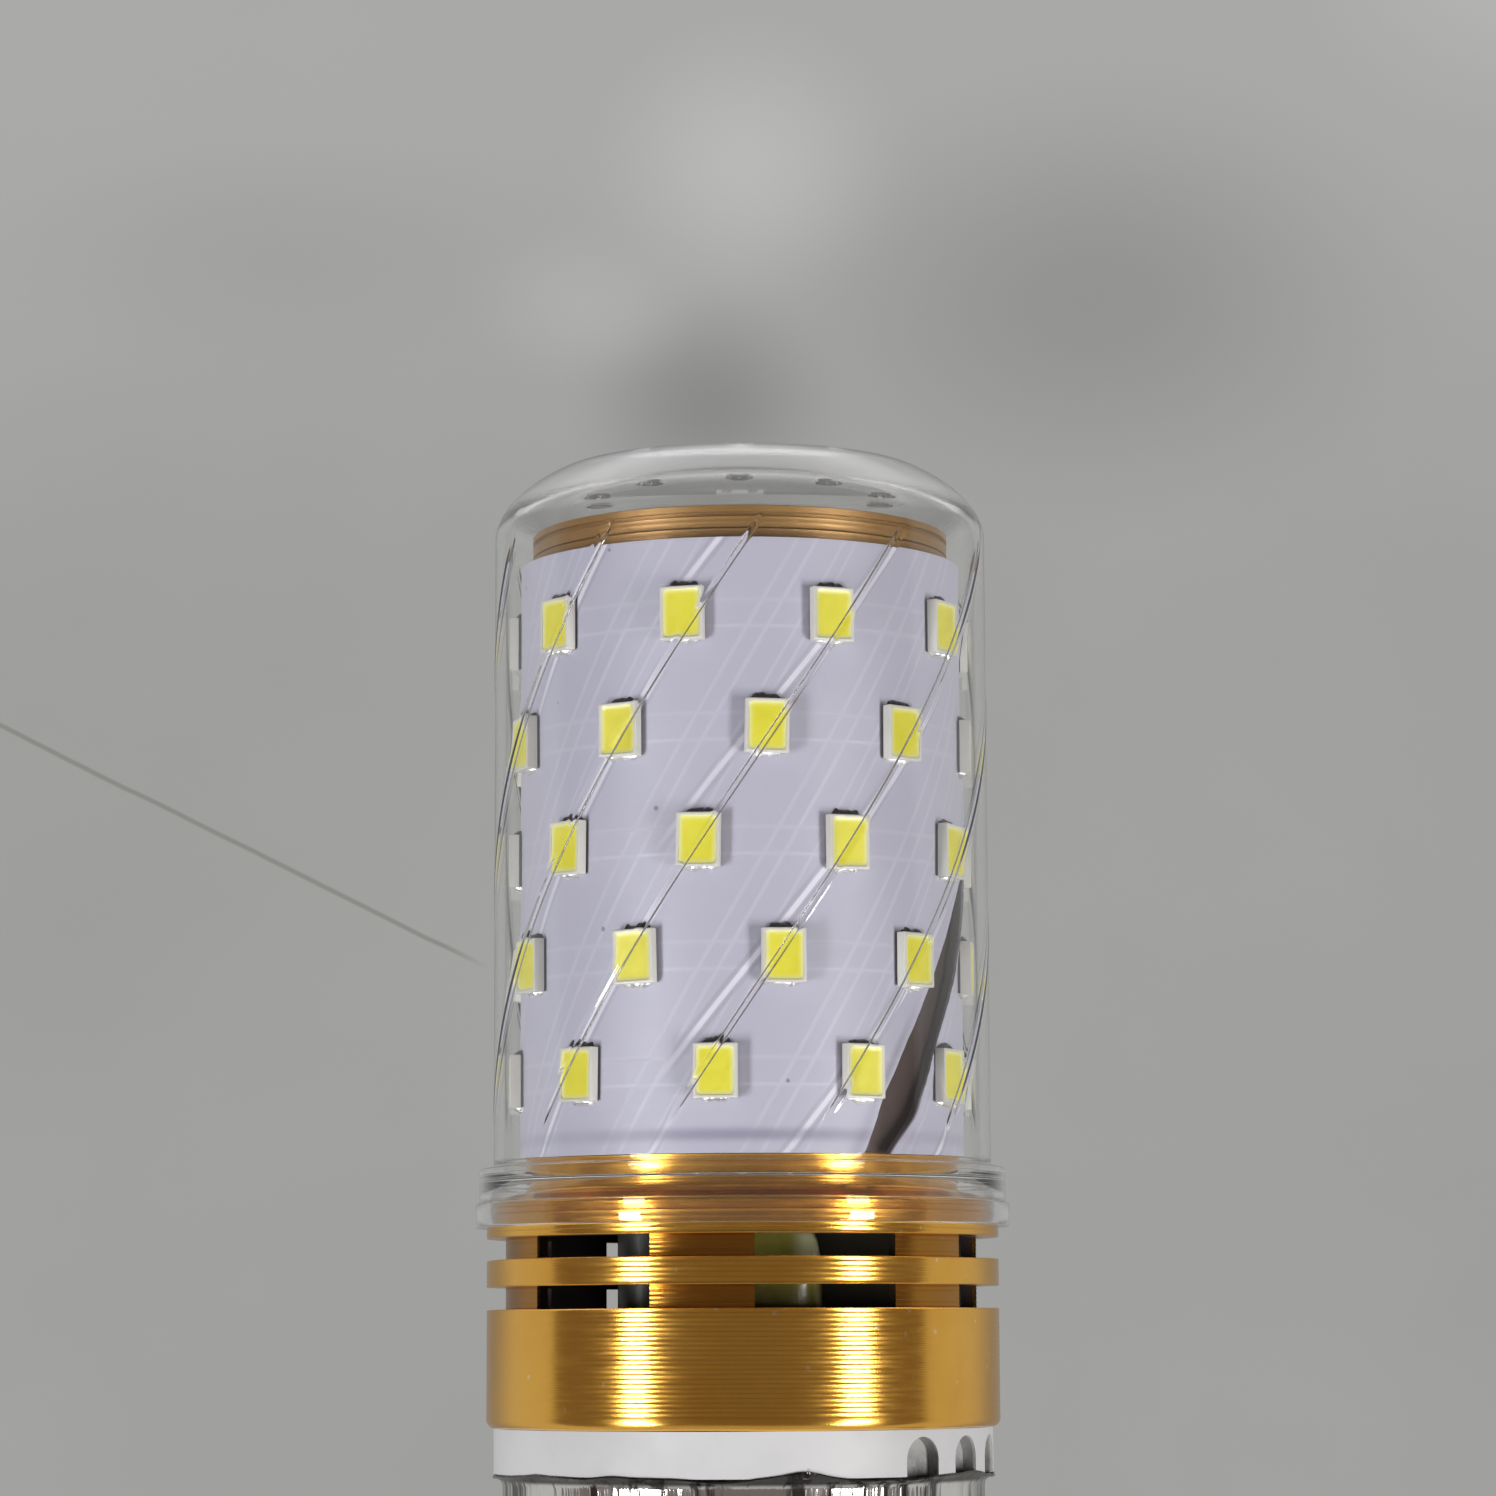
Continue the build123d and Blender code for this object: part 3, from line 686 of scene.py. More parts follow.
top = [(BORE, FLANGE_FOOT), *ribs(HOUSING, FLANGE_FOOT, COVER_FOOT)]
top += ribs(RIM, COVER_FOOT, COVER_FOOT + 0.85)[1:]
top += [(RIM - 0.25, COVER_FOOT + 0.87), (RIM - 0.25, COVER_FOOT + 1.13)]
top += [(RIM - 0.04, COVER_FOOT + 1.15), (RIM, COVER_FOOT + 1.19), (RIM, RIM_TOP - 0.12)]
top += corner(RIM - 0.15, RIM_TOP - 0.12, 0.15, 0, 70, 4)
top += [(RIM - 0.6, RIM_TOP + 0.12), (LEDGE + 1.0, RIM_TOP + 0.42)]
top += [(LEDGE + 0.45, RIM_TOP + 0.66), (LEDGE + 0.12, LEDGE_FOOT - 0.1), (LEDGE, LEDGE_FOOT + 0.1)]
top += ribs(LEDGE, LEDGE_FOOT + 0.12, BOARD_FOOT)[1:]
top += [(TUBE, BOARD_FOOT), (TUBE, NECK_STEP)]
top += ribs(TUBE_RIM, NECK_STEP, NOTCH_FOOT)[1:-1]
top += [(TUBE_BORE, NOTCH_FOOT), (TUBE_BORE, HOLLOW_TOP), (BORE, HOLLOW_TOP)]
piece("housing_top", "housing", "gold_aluminium", *turned(top))

# The neck's rim is open at the back, where the wires to the lamp board leave
notch = degrees(asin(WIRE_NOTCH_HALF / TUBE_RIM))
rim = [(TUBE_BORE, NOTCH_FOOT)]
rim += ribs(TUBE_RIM, NOTCH_FOOT, TUBE_TOP - 0.7)[1:-1]
rim += [(TUBE_RIM - 0.3, TUBE_TOP - 0.68), (TUBE_RIM - 0.3, TUBE_TOP - 0.47)]
rim += [(TUBE_RIM, TUBE_TOP - 0.43), (TUBE_RIM, TUBE_TOP - 0.05), (TUBE_RIM - 0.06, TUBE_TOP)]
rim += [(TUBE_BORE + 0.1, TUBE_TOP), (TUBE_BORE, TUBE_TOP - 0.1)]
piece("housing_rim", "housing", "gold_aluminium", *turned(rim, 0.0, notch - 180, 180 - notch))


def column_piece(index):
    """One of the posts between the vents, with flat sides and a ribbed face."""
    middle = POST_FIRST + 360 / POSTS * index
    half_out = 180 / POSTS - degrees(asin(VENT_HALF / COLUMN))
    half_in = 180 / POSTS - degrees(asin(VENT_HALF / BORE))
    wall = ribs(COLUMN, VENT_LOW - 0.2, FLANGE_FOOT + 0.2)
    steps = 12
    points = []
    for radius, height in wall:
        for j in range(steps + 1):
            points.append(polar(middle + half_out * (2 * j / steps - 1), radius, height))
        for j in range(steps + 1):
            points.append(polar(middle + half_in * (1 - 2 * j / steps), BORE, height))
    return points, skin_faces(len(wall), 2 * (steps + 1))


for index in range(POSTS):
    piece(f"housing_column_{index + 1}", "housing", "gold_aluminium", *column_piece(index))


# Lamp board
def board_edge(side, height):
    """How far an end of the board strays from its straight cut, in degrees."""
    if side > 0:
        stray = -2.6 * smoothstep(3.0, 0.0, height) + 0.5 * wave(height * 0.5, 3)
        return stray + 0.25 * wave(height * 2.5, 9)
    stray = -2.4 * smoothstep(0.0, 4.5, height) * smoothstep(25.0, 7.0, height)
    return stray + 0.25 * wave(height * 0.45, 6) + 0.15 * wave(height * 2.1, 2)


def board_lift(from_right, from_left, height):
    """How far the board's ends curl off the neck."""
    lift = 0.5 * smoothstep(5, 0, from_right) * smoothstep(9, 0, height)
    lift += 0.18 * smoothstep(4, 0, from_right) * smoothstep(6, 12, height)
    return lift + 0.22 * smoothstep(4, 0, from_left)


def board_columns():
    """Places along the board in degrees from the seam's middle, closer together near both ends."""
    bends = [0, 0.6, 1.2, 2, 3, 4.5, 6.5, 9]
    step = 2.0
    first = SEAM_HALF + bends[-1]
    plain = round((360 - 2 * first) / step)
    columns = [SEAM_HALF + b for b in bends]
    columns += [first + step * k for k in range(1, plain)]
    return columns + [360 - SEAM_HALF - b for b in reversed(bends)]


def board():
    """The wrapped sheet. Each point has its angle, height and place from the seam, and its core."""
    rows = 100
    bent = 9
    columns = board_columns()
    total = BOARD_TOP - BOARD_FOOT
    layers = ((BOARD_OUT, 0.0), (BOARD_OUT - 0.04, 0.0), (BOARD_IN + 0.3, 1.0), (BOARD_IN, 1.0))
    points, wraps, cores = [], [], []
    for layer_radius, core in layers:
        for i in range(rows + 1):
            height = total * i / rows
            for along in columns:
                from_right = along - SEAM_HALF
                from_left = 360 - SEAM_HALF - along
                angle = SEAM + SLANT * height + along
                angle += board_edge(1, height) * smoothstep(bent, 0, from_right)
                angle += board_edge(-1, height) * smoothstep(bent, 0, from_left)
                radius = layer_radius + board_lift(from_right, from_left, height)
                points.append(polar(angle, radius, BOARD_FOOT + height))
                wraps.append((angle, height, along))
                cores.append(core)
    count = len(columns)
    layer_size = (rows + 1) * count
    inner = grid_faces(rows + 1, count, 3 * layer_size, close_columns=False)
    faces = grid_faces(rows + 1, count, close_columns=False)
    faces += [tuple(reversed(face)) for face in inner]
    outline = list(range(count))
    outline += [i * count + count - 1 for i in range(1, rows + 1)]
    outline += [rows * count + j for j in range(count - 2, -1, -1)]
    outline += [i * count for i in range(rows - 1, 0, -1)]
    for j, here in enumerate(outline):
        there = outline[(j + 1) % len(outline)]
        for a in (0, layer_size, 2 * layer_size):
            b = a + layer_size
            faces.append((a + here, b + here, b + there, a + there))
    # Only the rim uses the two layers in between
    used = sorted({v for face in faces for v in face})
    new = {v: i for i, v in enumerate(used)}
    faces = [tuple(new[v] for v in face) for face in faces]
    points, wraps, cores = ([values[v] for v in used] for values in (points, wraps, cores))
    return points, faces, wraps, cores


points, faces, wraps, cores = board()
piece("lamp_board_sheet", "lamp_board", "board_white", points, faces, wrap=wraps, core=cores)


# Lamps
CORNER_STEPS = 4
LOOP_POINTS = 4 * (CORNER_STEPS + 1)


def rounded(half_width, half_length, round_by):
    """A rectangle's outline with round corners."""
    points = []
    for cx, cy, start in ((1, 1, 0), (-1, 1, 90), (-1, -1, 180), (1, -1, 270)):
        x, y = cx * (half_width - round_by), cy * (half_length - round_by)
        for i in range(CORNER_STEPS + 1):
            a = radians(start + 90 * i / CORNER_STEPS)
            points.append((x + round_by * cos(a), y + round_by * sin(a)))
    return points


def seat(angle, height, turn=0.0):
    """Turns (across, up, out) on the board into the row frame. The turn is in radians."""
    a = radians(angle)
    out = Vector((sin(a), -cos(a), 0))
    across = Vector((cos(a), sin(a), 0))
    origin = out * BOARD_OUT + Vector((0, 0, height))

    def place(x, y, z):
        right = x * cos(turn) - y * sin(turn)
        up = x * sin(turn) + y * cos(turn)
        return tuple(origin + across * right + Vector((0, 0, up)) + out * z)

    return place


def add_stack(mesh, loops, place):
    """Adds a closed skin over a stack of (outline, out) loops to a mesh's points and faces."""
    points, faces = mesh
    start = len(points)
    for loop, out in loops:
        points += [place(x, y, out) for x, y in loop]
    faces += skin_faces(len(loops), LOOP_POINTS, start)


def case_loops():
    """A lamp's case from its inset base over the top and down into the window."""
    w, l = LAMP_W / 2, LAMP_L / 2
    return [
        (rounded(w - 0.14, l - 0.06, 0.06), -0.12),
        (rounded(w - 0.14, l - 0.06, 0.06), 0.1),
        (rounded(w, l, 0.06), 0.13),
        (rounded(w, l, 0.06), LAMP_T - 0.07),
        (rounded(w - 0.02, l - 0.02, 0.07), LAMP_T - 0.025),
        (rounded(w - 0.06, l - 0.06, 0.1), LAMP_T),
        (rounded(WINDOW_W + 0.05, WINDOW_L + 0.05, 0.3), LAMP_T),
        (rounded(WINDOW_W + 0.01, WINDOW_L + 0.01, 0.28), LAMP_T - 0.02),
        (rounded(WINDOW_W - 0.02, WINDOW_L - 0.02, 0.27), LAMP_T - 0.09),
        (rounded(WINDOW_W - 0.04, WINDOW_L - 0.04, 0.26), LAMP_T - 0.25),
    ]


# Which of the case's loops lie in the gap over the board
CASE_GAPS = [1.0, 1.0, *[0.0] * 8]

# The filling's loops: inset from the window, height over the case's top, share of deep yellow
FILL_STEPS = [(0.0, -0.2, 0.0), (0.0, -0.05, 0.0), (0.05, -0.075, 0.1), (0.13, -0.09, 0.35)]
FILL_STEPS += [(0.24, -0.1, 0.7), (0.4, -0.105, 1.0), (0.65, -0.105, 1.0), (0.9, -0.1, 1.0)]


def fill_loops():
    """The filling's skin, sunk a little in the window and creeping up its edge."""
    loops = []
    for inset, out, _ in FILL_STEPS:
        w, l = WINDOW_W - 0.01 - inset, WINDOW_L - 0.01 - inset
        loops.append((rounded(w, l, max(0.1, 0.27 - inset * 0.2)), LAMP_T + out))
    return loops


def per_point(values):
    """Repeats each loop's value for its points, for every lamp of a row."""
    return [value for value in values for _ in range(LOOP_POINTS)] * LAMPS_ROUND


def lamp_angle(height, n):
    return SEAM + SLANT * height - LAMP_BACK - LAMP_STEP * n


for row in range(LAMP_ROWS):
    height = LAMP_FIRST + row * LAMP_PITCH
    cases = ([], [])
    fills = ([], [])
    for n in range(LAMPS_ROUND):
        turn = radians(rng.uniform(-1.2, 1.2))
        angle = lamp_angle(height, n) + rng.uniform(-0.12, 0.12)
        place = seat(angle, BOARD_FOOT + height + rng.uniform(-0.05, 0.05), turn)
        add_stack(cases, case_loops(), place)
        add_stack(fills, fill_loops(), place)
    gaps = per_point(CASE_GAPS)
    inward = per_point([deep for _, _, deep in FILL_STEPS])
    tag = f"row_{row + 1}"
    piece(f"lamp_case_{tag}", f"lamp_cases_{tag}", "lamp_case", *cases, gap=gaps)
    piece(f"lamp_fill_{tag}", f"lamp_phosphor_{tag}", "phosphor_yellow", *fills, inward=inward)


def solder_strip(place, end, start):
    """A lumpy fillet between a lamp's end and the board."""
    across, round_steps = 12, 5
    half = 0.95 + rng.uniform(-0.06, 0.08)
    seed = rng.uniform(0, 50)
    widest = 0.48 if end > 0 else 0.34
    sunk = -0.05
    points = []
    for i in range(across + 1):
        t = 2 * i / across - 1
        lobes = 0.75 + 0.45 * wave(t * 3.4, seed) + 0.2 * wave(t * 9, seed, 5)
        taper = sqrt(max(0.0, 1 - abs(t) ** 4)) * 0.85 + 0.15
        reach = widest * lobes * taper
        rise = 0.5 * (0.8 + 0.35 * wave(t * 5, seed, 9)) * taper
        for j in range(round_steps + 1):
            a = pi / 2 * j / round_steps
            up = end * (LAMP_L / 2 - 0.03 + reach * cos(a))
            points.append(place(t * half, up, rise * sin(a)))
        points.append(place(t * half, end * (LAMP_L / 2 - 0.08), sunk))
        points.append(place(t * half, end * (LAMP_L / 2 + reach), sunk))
    return points, skin_faces(across + 1, round_steps + 3, start)


points, faces, flux = [], [], []
for row in range(LAMP_ROWS):
    height = LAMP_FIRST + row * LAMP_PITCH
    for n in range(LAMPS_ROUND):
        place = seat(lamp_angle(height, n), BOARD_FOOT + height)
        for end in (-1, 1):
            strip_points, strip_faces = solder_strip(place, end, len(points))
            points += strip_points
            faces += strip_faces
            flux += [float(end > 0)] * len(strip_points)
piece("lamp_solder_strips", "lamp_solder", "solder", points, faces, flux=flux)


# Cover. A ridge's reach to each side and its height, outside and inside the wall
RIDGE_OUTER = (0.4, 0.04)
RIDGE_INNER = (0.31, 0.16)


def ridge_lift(ridge, offset):
    """A ridge's rounded height at a distance from its middle."""
    reach, height = ridge
    if abs(offset) >= reach:
        return 0.0
    return height * 0.5 * (1 + cos(pi * offset / reach))


def cover_columns():
    """For each column of points its angle, its distance from a ridge, and how far it is let down."""
    reach = RIDGE_OUTER[0]
    per_mm = 180 / pi / COVER_R
    slope = RIDGE_SLANT / per_mm
    skew = slope / (1 + slope * slope)
    over_ridge = [0.04 * i - reach for i in range(21)]
    rest = RIDGE_STEP - 2 * reach * per_mm
    columns = []
    for k in range(RIDGES):
        middle = RIDGE_STEP * k
        columns += [(middle + o * per_mm, o, -o * skew) for o in over_ridge]
        for i in range(1, 15):
            angle = middle + reach * per_mm + rest * i / 15
            columns.append((angle, 1.0, reach * skew * (2 * i / 15 - 1)))
    return columns


def cover_rows():
    """The cover's outline from its foot up the outside to the axis, and the inside down again."""
    steps = 84
    foot_in = RIM + 0.05
    wall_foot = COVER_BODY_FOOT + 0.2
    shoulder = [
        (0.12, 0.5), (0.42, 1.2), (0.95, 1.95), (1.65, 2.65), (2.5, 3.3), (3.35, 3.82), (4.05, 4.17)
    ]
    outer = [(foot_in, COVER_FOOT)]
    outer += corner(COVER_FOOT_R - 0.12, COVER_FOOT + 0.12, 0.12, -90, 0, 3)
    outer += corner(COVER_FOOT_R - 0.12, COVER_FOOT + 1.48, 0.12, 0, 90, 3)
    outer += [(COVER_STEP_R + 0.02, COVER_FOOT + 1.6), (COVER_STEP_R, COVER_FOOT + 1.66)]
    outer += corner(COVER_STEP_R - 0.25, COVER_BODY_FOOT - 0.25, 0.25, 0, 90, 4)
    outer += [(COVER_R + 0.15, COVER_BODY_FOOT + 0.01), (COVER_R + 0.04, COVER_BODY_FOOT + 0.06)]
    rise = SHOULDER - wall_foot
    outer += [(COVER_R, wall_foot + rise * i / steps) for i in range(steps + 1)]
    outer += [(COVER_R - r, SHOULDER + z) for r, z in shoulder]
    outer += [(COVER_TOP_R - 0.2, COVER_TOP - 0.02), (COVER_TOP_R - 0.6, COVER_TOP)]
    outer += [(r, COVER_TOP) for r in (8.0, 4.0, 0.5)]

    wall = COVER_R - COVER_WALL
    ceiling = COVER_TOP - COVER_ROOF
    seat_top = COVER_FOOT + 2.95
    drop = SHOULDER - seat_top - 0.1
    inner = [(r, ceiling) for r in (0.5, 4.0, 8.0, COVER_TOP_R - 0.9)]
    inner += [(wall - r * 0.97, SHOULDER + z - 1.05 * z / 4.27) for r, z in reversed(shoulder)]
    inner += [(wall, SHOULDER - drop * i / steps) for i in range(steps + 1)]
    inner += [(wall + 0.1, seat_top), (foot_in - 0.1, seat_top), (foot_in, seat_top - 0.1)]
    inner += [(foot_in, COVER_FOOT + 1.4)]
    return outer, inner


def cover_skin():
    outer, inner = cover_rows()
    columns = cover_columns()
    points = []
    for i, (radius, row_height) in enumerate(outer + inner):
        # On the straight wall the rows cross the ridges squarely, to keep the ridges' gloss clean
        square = smoothstep(COVER_BODY_FOOT + 0.2, COVER_BODY_FOOT + 2.2, row_height)
        square *= smoothstep(SHOULDER, SHOULDER - 2.0, row_height)
        for angle, offset, lower in columns:
            height = row_height + lower * square
            climb = min(max(height, RIDGE_FOOT), RIDGE_TOP) - RIDGE_FOOT
            turn = RIDGE_FIRST + RIDGE_SLANT * climb
            share = smoothstep(RIDGE_FOOT, RIDGE_FOOT + 1.6, height)
            share *= smoothstep(RIDGE_TOP, RIDGE_TOP - 1.4, height)
            if i < len(outer):
                bulge = share * ridge_lift(RIDGE_OUTER, offset)
            else:
                bulge = -share * ridge_lift(RIDGE_INNER, offset)
            points.append(polar(turn + angle, radius + bulge, height))
    count = len(columns)
    faces = grid_faces(len(outer) + len(inner), count, close_rows=True)
    # The two rows nearest the axis are closed by flat faces, not joined to each other
    first = (len(outer) - 1) * count
    second = first + count
    faces = [face for face in faces if not (first <= face[0] < second <= face[2])]
    faces.append(tuple(first + j for j in range(count)))
    faces.append(tuple(second + j for j in reversed(range(count))))
    return points, faces


def vent_pins():
    """Round pins that cut the vents in the cover's top."""
    sides = 28
    points, faces = [], []
    for k in range(PINS):
        start = len(points)
        cx, cy, _ = polar(360 / PINS * k, PIN_RING, 0)
        for z in (COVER_TOP - 2, COVER_TOP + 1):
            for j in range(sides):
                a = 2 * pi * j / sides
                points.append((cx + PIN_R * cos(a), cy + PIN_R * sin(a), z))
        faces += skin_faces(2, sides, start)
    return points, faces


def cut_vents(cover, sharp):
    """Gives the cover a mesh with the vents cut out, and the milky finish round its top."""
    pins = mesh_object("pins", *vent_pins())
    cut = cover.modifiers.new("vents", "BOOLEAN")
    cut.object = pins
    cut.operation = "DIFFERENCE"
    cut.solver = "EXACT"
    depsgraph = bpy.context.evaluated_depsgraph_get()
    mesh = bpy.data.meshes.new_from_object(cover.evaluated_get(depsgraph))
    cover.modifiers.clear()
    cover.data = mesh
    bpy.data.objects.remove(pins)
    mesh.set_sharp_from_angle(angle=radians(sharp))
    mesh.materials.clear()
    mesh.materials.append(PAINTS["clear_cover"])
    mesh.materials.append(PAINTS["clear_cover_edge"])
    for polygon in mesh.polygons:
        x, y, height = polygon.center / MM
        milky = height > SHOULDER + 0.2 and hypot(x, y) > COVER_TOP_R - 1.2
        polygon.material_index = int(milky)


cover = piece("cover_clear", "cover", "clear_cover", *cover_skin(), sharp=60)
cut_vents(cover, sharp=60)


# Screw shell
def shell_radius(angle, height):
    """The cap's outside: a chamfered end, a rolled right-hand thread, a neck and a flared skirt."""
    if height > FLARE_FOOT:
        flare = SHELL_SKIRT - SHELL_NECK
        return SHELL_NECK + flare * smoothstep(FLARE_FOOT, SKIRT_FOOT, height)
    turn = (height - (THREAD_FOOT - THREAD_PITCH / 2)) / THREAD_PITCH - (angle - 90) / 360
    off = (turn - round(turn)) * THREAD_PITCH
    bead = THREAD_CORE
    if abs(off) < 1.3:
        arc = sqrt(max(0.0, THREAD_ROUND**2 - off * off))
        soft = 0.09 * exp(-((abs(off) - THREAD_ROUND) / 0.25) ** 2)
        bead += max(arc - 0.04, soft)
    radius = min(bead, THREAD_CREST)
    if height > NECK_FOOT - 0.4:
        widening = smoothstep(NECK_FOOT - 0.35, NECK_FOOT + 0.35, height)
        radius = max(radius, THREAD_CORE + (SHELL_NECK - THREAD_CORE) * widening)
    chamfer = SHELL_END + 0.05 + (height - SHELL_FOOT) * 1.4 / 1.2
    return min(radius, chamfer)


def lip_row(out, up, columns):
    """One ring of the lip, crimped in waves that grow towards its rim, with a bulge in front."""
    row = []
    for j in range(columns):
        angle = 360 * j / columns
        a = radians(angle)
        crimp = wave(2.4 * sin(a), 2.4 * cos(a), 4)
        fine = wave(7 * sin(a), 7 * cos(a), 8)
        bulge = exp(-(((angle - 13) / 7) ** 2))
        grow = out / 0.7
        lift = grow * (0.38 * crimp + 0.14 * fine) + 0.5 * bulge * grow**6
        radius = SHELL_SKIRT + out + grow * 0.05 * (crimp + bulge)
        row.append((radius, LIP_FOOT - 0.1 + up + lift))
    return row


def shell():
    columns = 240
    heights = [SHELL_FOOT + 0.02]
    heights += [SHELL_FOOT + 0.1 + 0.2 * i for i in range(85)]
    heights += [NECK_FOOT + 0.5, NECK_FOOT + 1.0, FLARE_FOOT]
    heights += [FLARE_FOOT + (SKIRT_FOOT - FLARE_FOOT) * i / 8 for i in range(1, 9)]
    heights += [SKIRT_FOOT + 0.5, SKIRT_FOOT + 1.2, SKIRT_FOOT + 1.9, LIP_FOOT - 0.35]
    outer = []
    for height in sorted({round(h, 3) for h in heights}):
        outer.append([(shell_radius(360 * j / columns, height), height) for j in range(columns)])
    lip = ((0.02, 0.0), (0.12, 0.25), (0.35, 0.45), (0.6, 0.55), (0.7, 0.62), (0.68, 0.72))
    outer += [lip_row(out, up, columns) for out, up in lip]
    inner = [[(r - SHELL_WALL, z) for r, z in row] for row in outer[:-2]]
    inner += [[(r - 0.1, z - 0.05) for r, z in row] for row in outer[-2:]]
    points = []
    for row in outer + inner[::-1]:
        points += [polar(360 * j / columns, *place) for j, place in enumerate(row)]
    return points, grid_faces(2 * len(outer), columns, close_rows=True)


piece("screw_shell_rolled", "screw_shell", "cap_chrome", *shell())


# Film capacitor
def dipped(center, half, power, bumps):
    """A block with round edges under a soft, uneven skin."""
    around, up = 56, 36

    def squared(value):
        return copysign(abs(value) ** power, value)

    points = []
    for i in range(1, up):
        v = pi * i / up - pi / 2
        for j in range(around):
            u = 2 * pi * j / around
            x = squared(cos(v)) * squared(cos(u))
            y = squared(cos(v)) * squared(sin(u))
            z = squared(sin(v))
            swell = 1 + bumps * wave(x * 1.6, y * 1.6, z * 1.6)
            points.append(tuple(c + h * k * swell for c, h, k in zip(center, half, (x, y, z))))
    return points, skin_faces(up - 1, around)


film_mesh = dipped((1.0, -5.2, 40.97), (4.1, 5.45, 3.5), 0.42, 0.05)
piece("film_capacitor_dipped", "film_capacitor", "film_green", *film_mesh)


# Driver board
def plate(outline, front, back, chamfer):
    """A flat plate with broken edges, from its outline seen from the front."""
    middle_x = sum(x for x, _ in outline) / len(outline)
    middle_z = sum(z for _, z in outline) / len(outline)
    points = []
    for y, inset in ((front, chamfer), (front + chamfer, 0), (back - chamfer, 0), (back, chamfer)):
        for x, z in outline:
            inset_x = copysign(inset, x - middle_x)
            inset_z = copysign(inset, z - middle_z)
            points.append((x - inset_x, y, z - inset_z))
    return points, skin_faces(4, len(outline))


# The plain plate of the frame, with a tab on its right side behind the vents
low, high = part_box("driver_board")
left, front, foot = (c / MM for c in low)
right, back, head = (c / MM for c in high)
TAB_FOOT = 36.6
tab = right + 2.2
outline = [(left, foot), (right, foot), (right, TAB_FOOT), (tab, TAB_FOOT + 0.8)]
outline += [(tab, head - 0.9), (tab - 0.9, head), (left, head)]
plate_mesh = plate(outline, front, back, 0.08)
piece("driver_board_tabbed", "driver_board", "driver_laminate", *plate_mesh)


# Stage: a flat round floor, just under the bulb
FLOOR_R = 600
FLOOR_SIDES = 96
ring = [polar(360 * j / FLOOR_SIDES, FLOOR_R, -0.02) for j in range(FLOOR_SIDES)]
floor = mesh_object("floor", ring, [tuple(range(FLOOR_SIDES))])
paint = Paint("floor_grey", (0.46, 0.46, 0.45), 0.85)
paint.lay(paint.noise(30, 6, 0.6).between(0.35, 0.7), (0.43, 0.43, 0.42))
paint.set(Emission_Color=(1.0, 1.0, 0.975), Emission_Strength=0.25)
out, _ = paint.radius_and_height()
paint.let_through(out.between(100, 450))
floor.data.materials.append(paint.material)
floor.visible_shadow = False
floor.visible_glossy = False
floor.visible_diffuse = False


# World: a pale table behind the bulb, a dimmer room in front of it
world = bpy.data.worlds.new("studio")
world.use_nodes = True
bpy.context.scene.world = world
sky = Nodes(world.node_tree)
direction = sky.output("TexCoord", "Generated")
side, ahead, up = sky.split(direction)
behind = (ahead + side * 0.0375).between(0.0, 0.04)
room = sky.mix(up.between(0.3, 0.5), (0.175, 0.145, 0.14), (0.05, 0.05, 0.05))
room = sky.mix(up.between(-0.6, -0.85, 0.0, 0.8), room, (0.5, 0.5, 0.49))
table = sky.mix(ahead.between(0.5, 0.9), (0.50, 0.50, 0.49), (0.27, 0.27, 0.265))
table = sky.mix(up.between(0.35, 0.7), table, (0.85, 0.85, 0.86))
light = sky.mix(behind, room, table)

# What the camera sees of the table: soft cloudy tone, painted soft shadows and lighter patches, and
# a scratch on the left
cloud = sky.noise(2.5, 5, 0.6, point=direction).between(0.3, 0.7)
seen = sky.mix(cloud, (0.335, 0.335, 0.325), (0.375, 0.375, 0.365))
seen = sky.mix(up.between(0.15, 0.27, 0.0, 0.7), seen, (0.42, 0.42, 0.415))

# Its painted soft shadows and lighter patches: place across and up, width, height, strength and
# shade
for x, z, wide, tall, strength, shade in (
    (-0.10, 0.235, 0.08, 0.03, 0.5, (0.33, 0.33, 0.325)),
    (0.075, 0.225, 0.085, 0.055, 0.8, (0.27, 0.27, 0.265)),
    (-0.008, 0.203, 0.035, 0.03, 0.8, (0.23, 0.23, 0.225)),
    (0.17, 0.30, 0.06, 0.05, 0.7, (0.5, 0.5, 0.49)),
    (0.0, 0.255, 0.04, 0.035, 0.8, (0.5, 0.5, 0.49)),
    (-0.035, 0.225, 0.03, 0.02, 0.7, (0.44, 0.44, 0.435)),
):
    dx = (side - x) / wide
    dz = (up - z) / tall
    inside = (dx * dx + dz * dz).math("SQRT").between(1.0, 0.0, 0.0, strength)
    seen = sky.mix(inside * ahead.between(0.0, 0.5), seen, shade)
seen = sky.mix(up.between(0.36, 0.5), seen, (0.8, 0.8, 0.81))
from_scratch = side * 0.4952 + (up - 0.0533) + sky.noise(40, 3, point=direction) * 0.0012
scratch = abs(from_scratch).between(0.0009, 0.0002, 0.0, 0.6)
scratch = scratch * side.between(-0.055, -0.068) * ahead.between(0.2, 0.5)
seen = sky.mix(scratch, seen, (0.2, 0.19, 0.17))

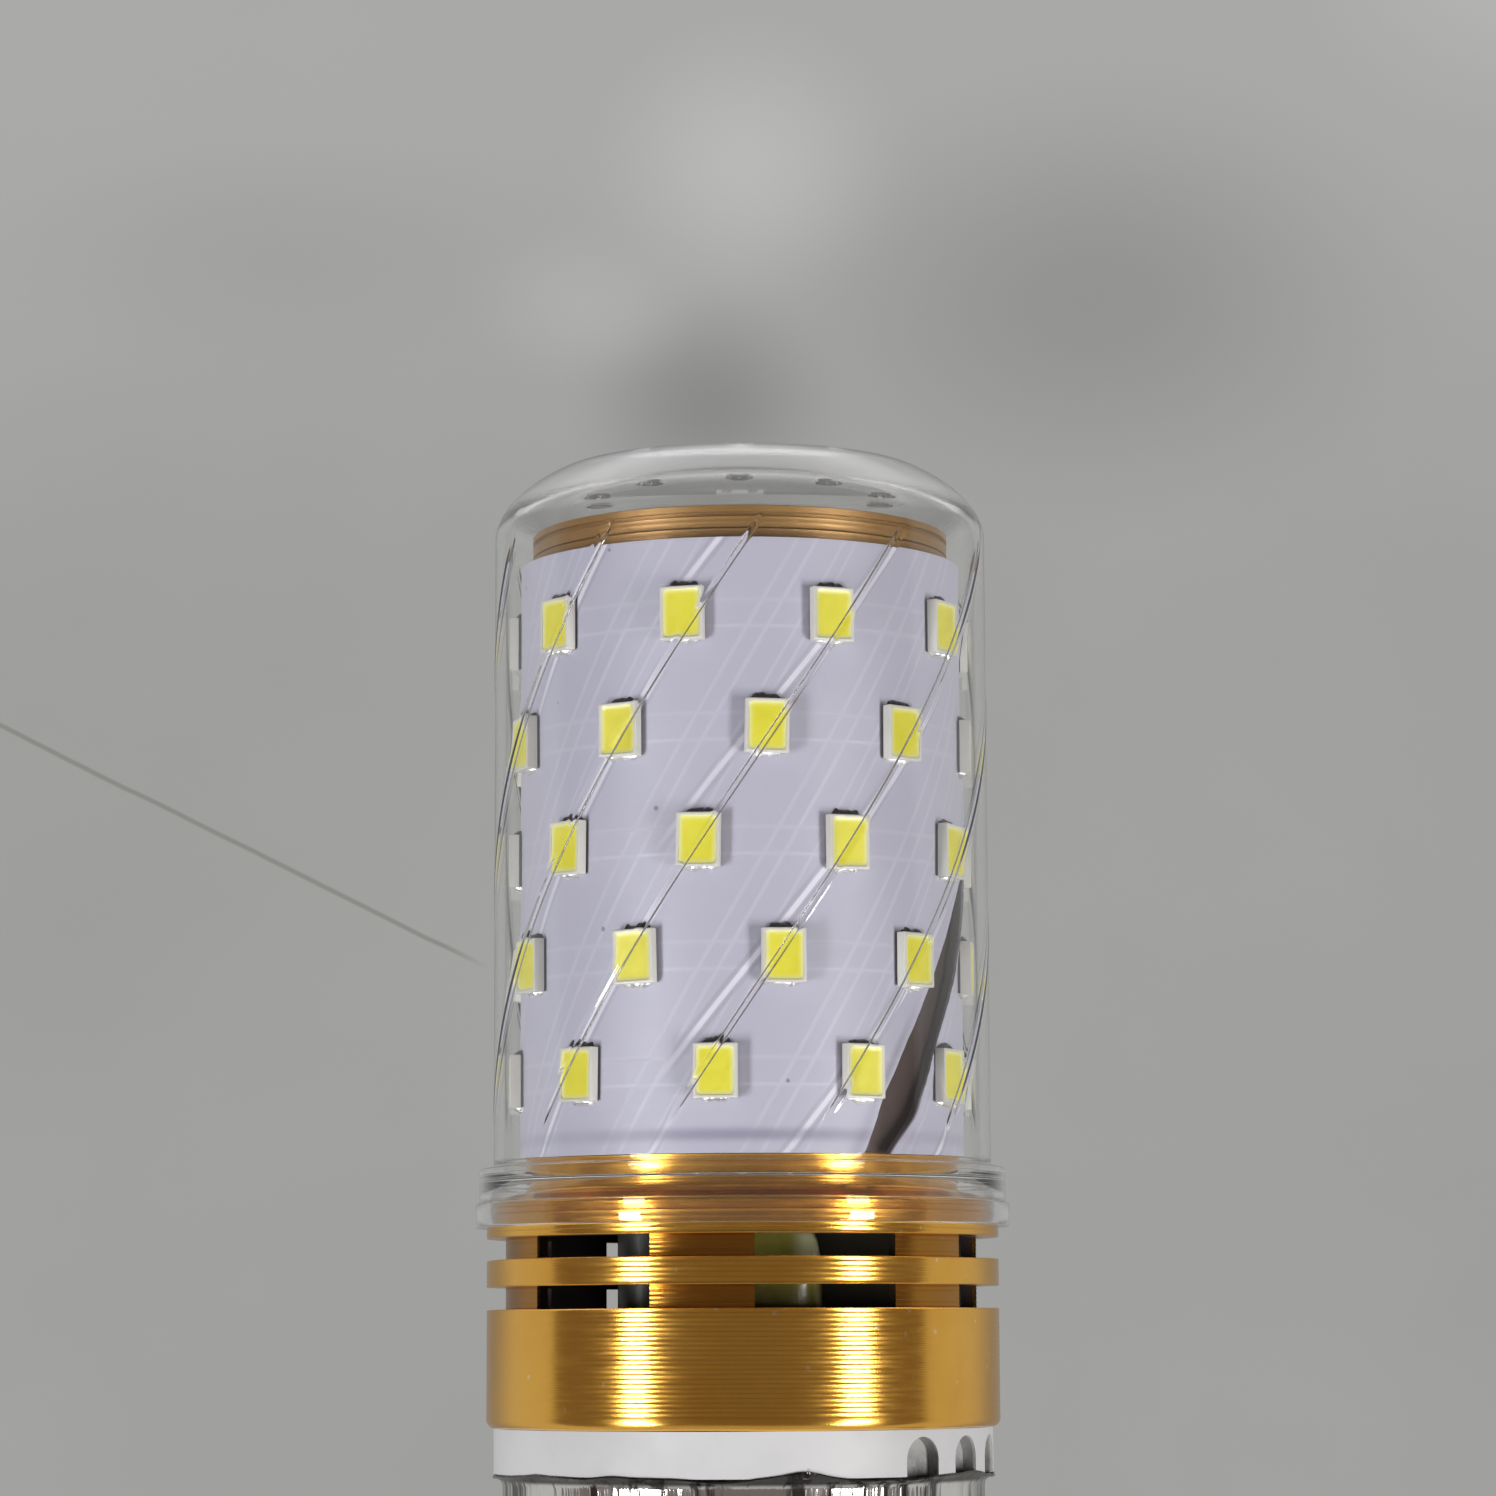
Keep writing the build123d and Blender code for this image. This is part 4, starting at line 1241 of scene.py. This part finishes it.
# Gloss also gets light from high behind the bulb, and dull surfaces get less light than gloss
overhead = sky.ray("Glossy") * up.between(0.6, 0.85) * ahead.between(0.0, 0.12)
light = sky.mix(overhead, light, (2.5, 2.5, 2.5))
light = sky.mix(sky.ray("Diffuse") * 0.55, light, (0, 0, 0))
through = sky.ray("Transmission") * ahead.between(0.0, 0.1)
direct = sky.ray("Camera").larger(through)
sky.put(sky.mix(direct, light, seen), sky.tree.nodes["Background"].inputs["Color"])


# Two soft lamps, low on the left and on the right
LIGHT_TARGET = Vector((0, 0, 0.062))
LIGHT_ELEVATION = -20
LIGHT_DISTANCE = 0.6
LIGHT_TALL = 0.36


def soft_lamp(name, azimuth, wide, radiance, color):
    data = bpy.data.lights.new(name, "AREA")
    data.shape = "RECTANGLE"
    data.size = wide
    data.size_y = LIGHT_TALL
    data.energy = radiance * wide * LIGHT_TALL * pi
    data.color = color
    lamp = bpy.data.objects.new(name, data)
    e = radians(LIGHT_ELEVATION)
    toward = Vector(polar(azimuth, cos(e), sin(e)))
    lamp.location = LIGHT_TARGET + toward * LIGHT_DISTANCE
    lamp.rotation_euler = toward.to_track_quat("Z", "Y").to_euler()
    lamp.visible_camera = False
    bpy.context.scene.collection.objects.link(lamp)


soft_lamp("lamp_left", -48, 0.105, 24.5, (1.0, 1.0, 1.0))
soft_lamp("lamp_right", 51.5, 0.12, 20.8, (1.0, 0.99, 0.97))

scene = bpy.context.scene
scene.view_settings.view_transform = "Standard"
scene.cycles.caustics_refractive = False
scene.cycles.caustics_reflective = False
scene.cycles.max_bounces = 28
scene.cycles.transmission_bounces = 28

# Camera, fitted to the photograph
PHOTO_PX = 1496
FOCAL_PX = 4545
CAMERA_PLACE = (0.0005, -0.304, 0.036966)
CAMERA_UP = 7.42
CAMERA_ROLL = -0.25

camera_data = bpy.data.cameras.new("camera")
camera_data.sensor_width = 36
camera_data.lens = camera_data.sensor_width * FOCAL_PX / PHOTO_PX
camera_data.clip_start = 0.01
camera = bpy.data.objects.new("camera", camera_data)
camera.matrix_world = (
    Matrix.Translation(CAMERA_PLACE)
    @ Matrix.Rotation(radians(90 + CAMERA_UP), 4, "X")
    @ Matrix.Rotation(radians(CAMERA_ROLL), 4, "Z")
)
scene.collection.objects.link(camera)
scene.camera = camera
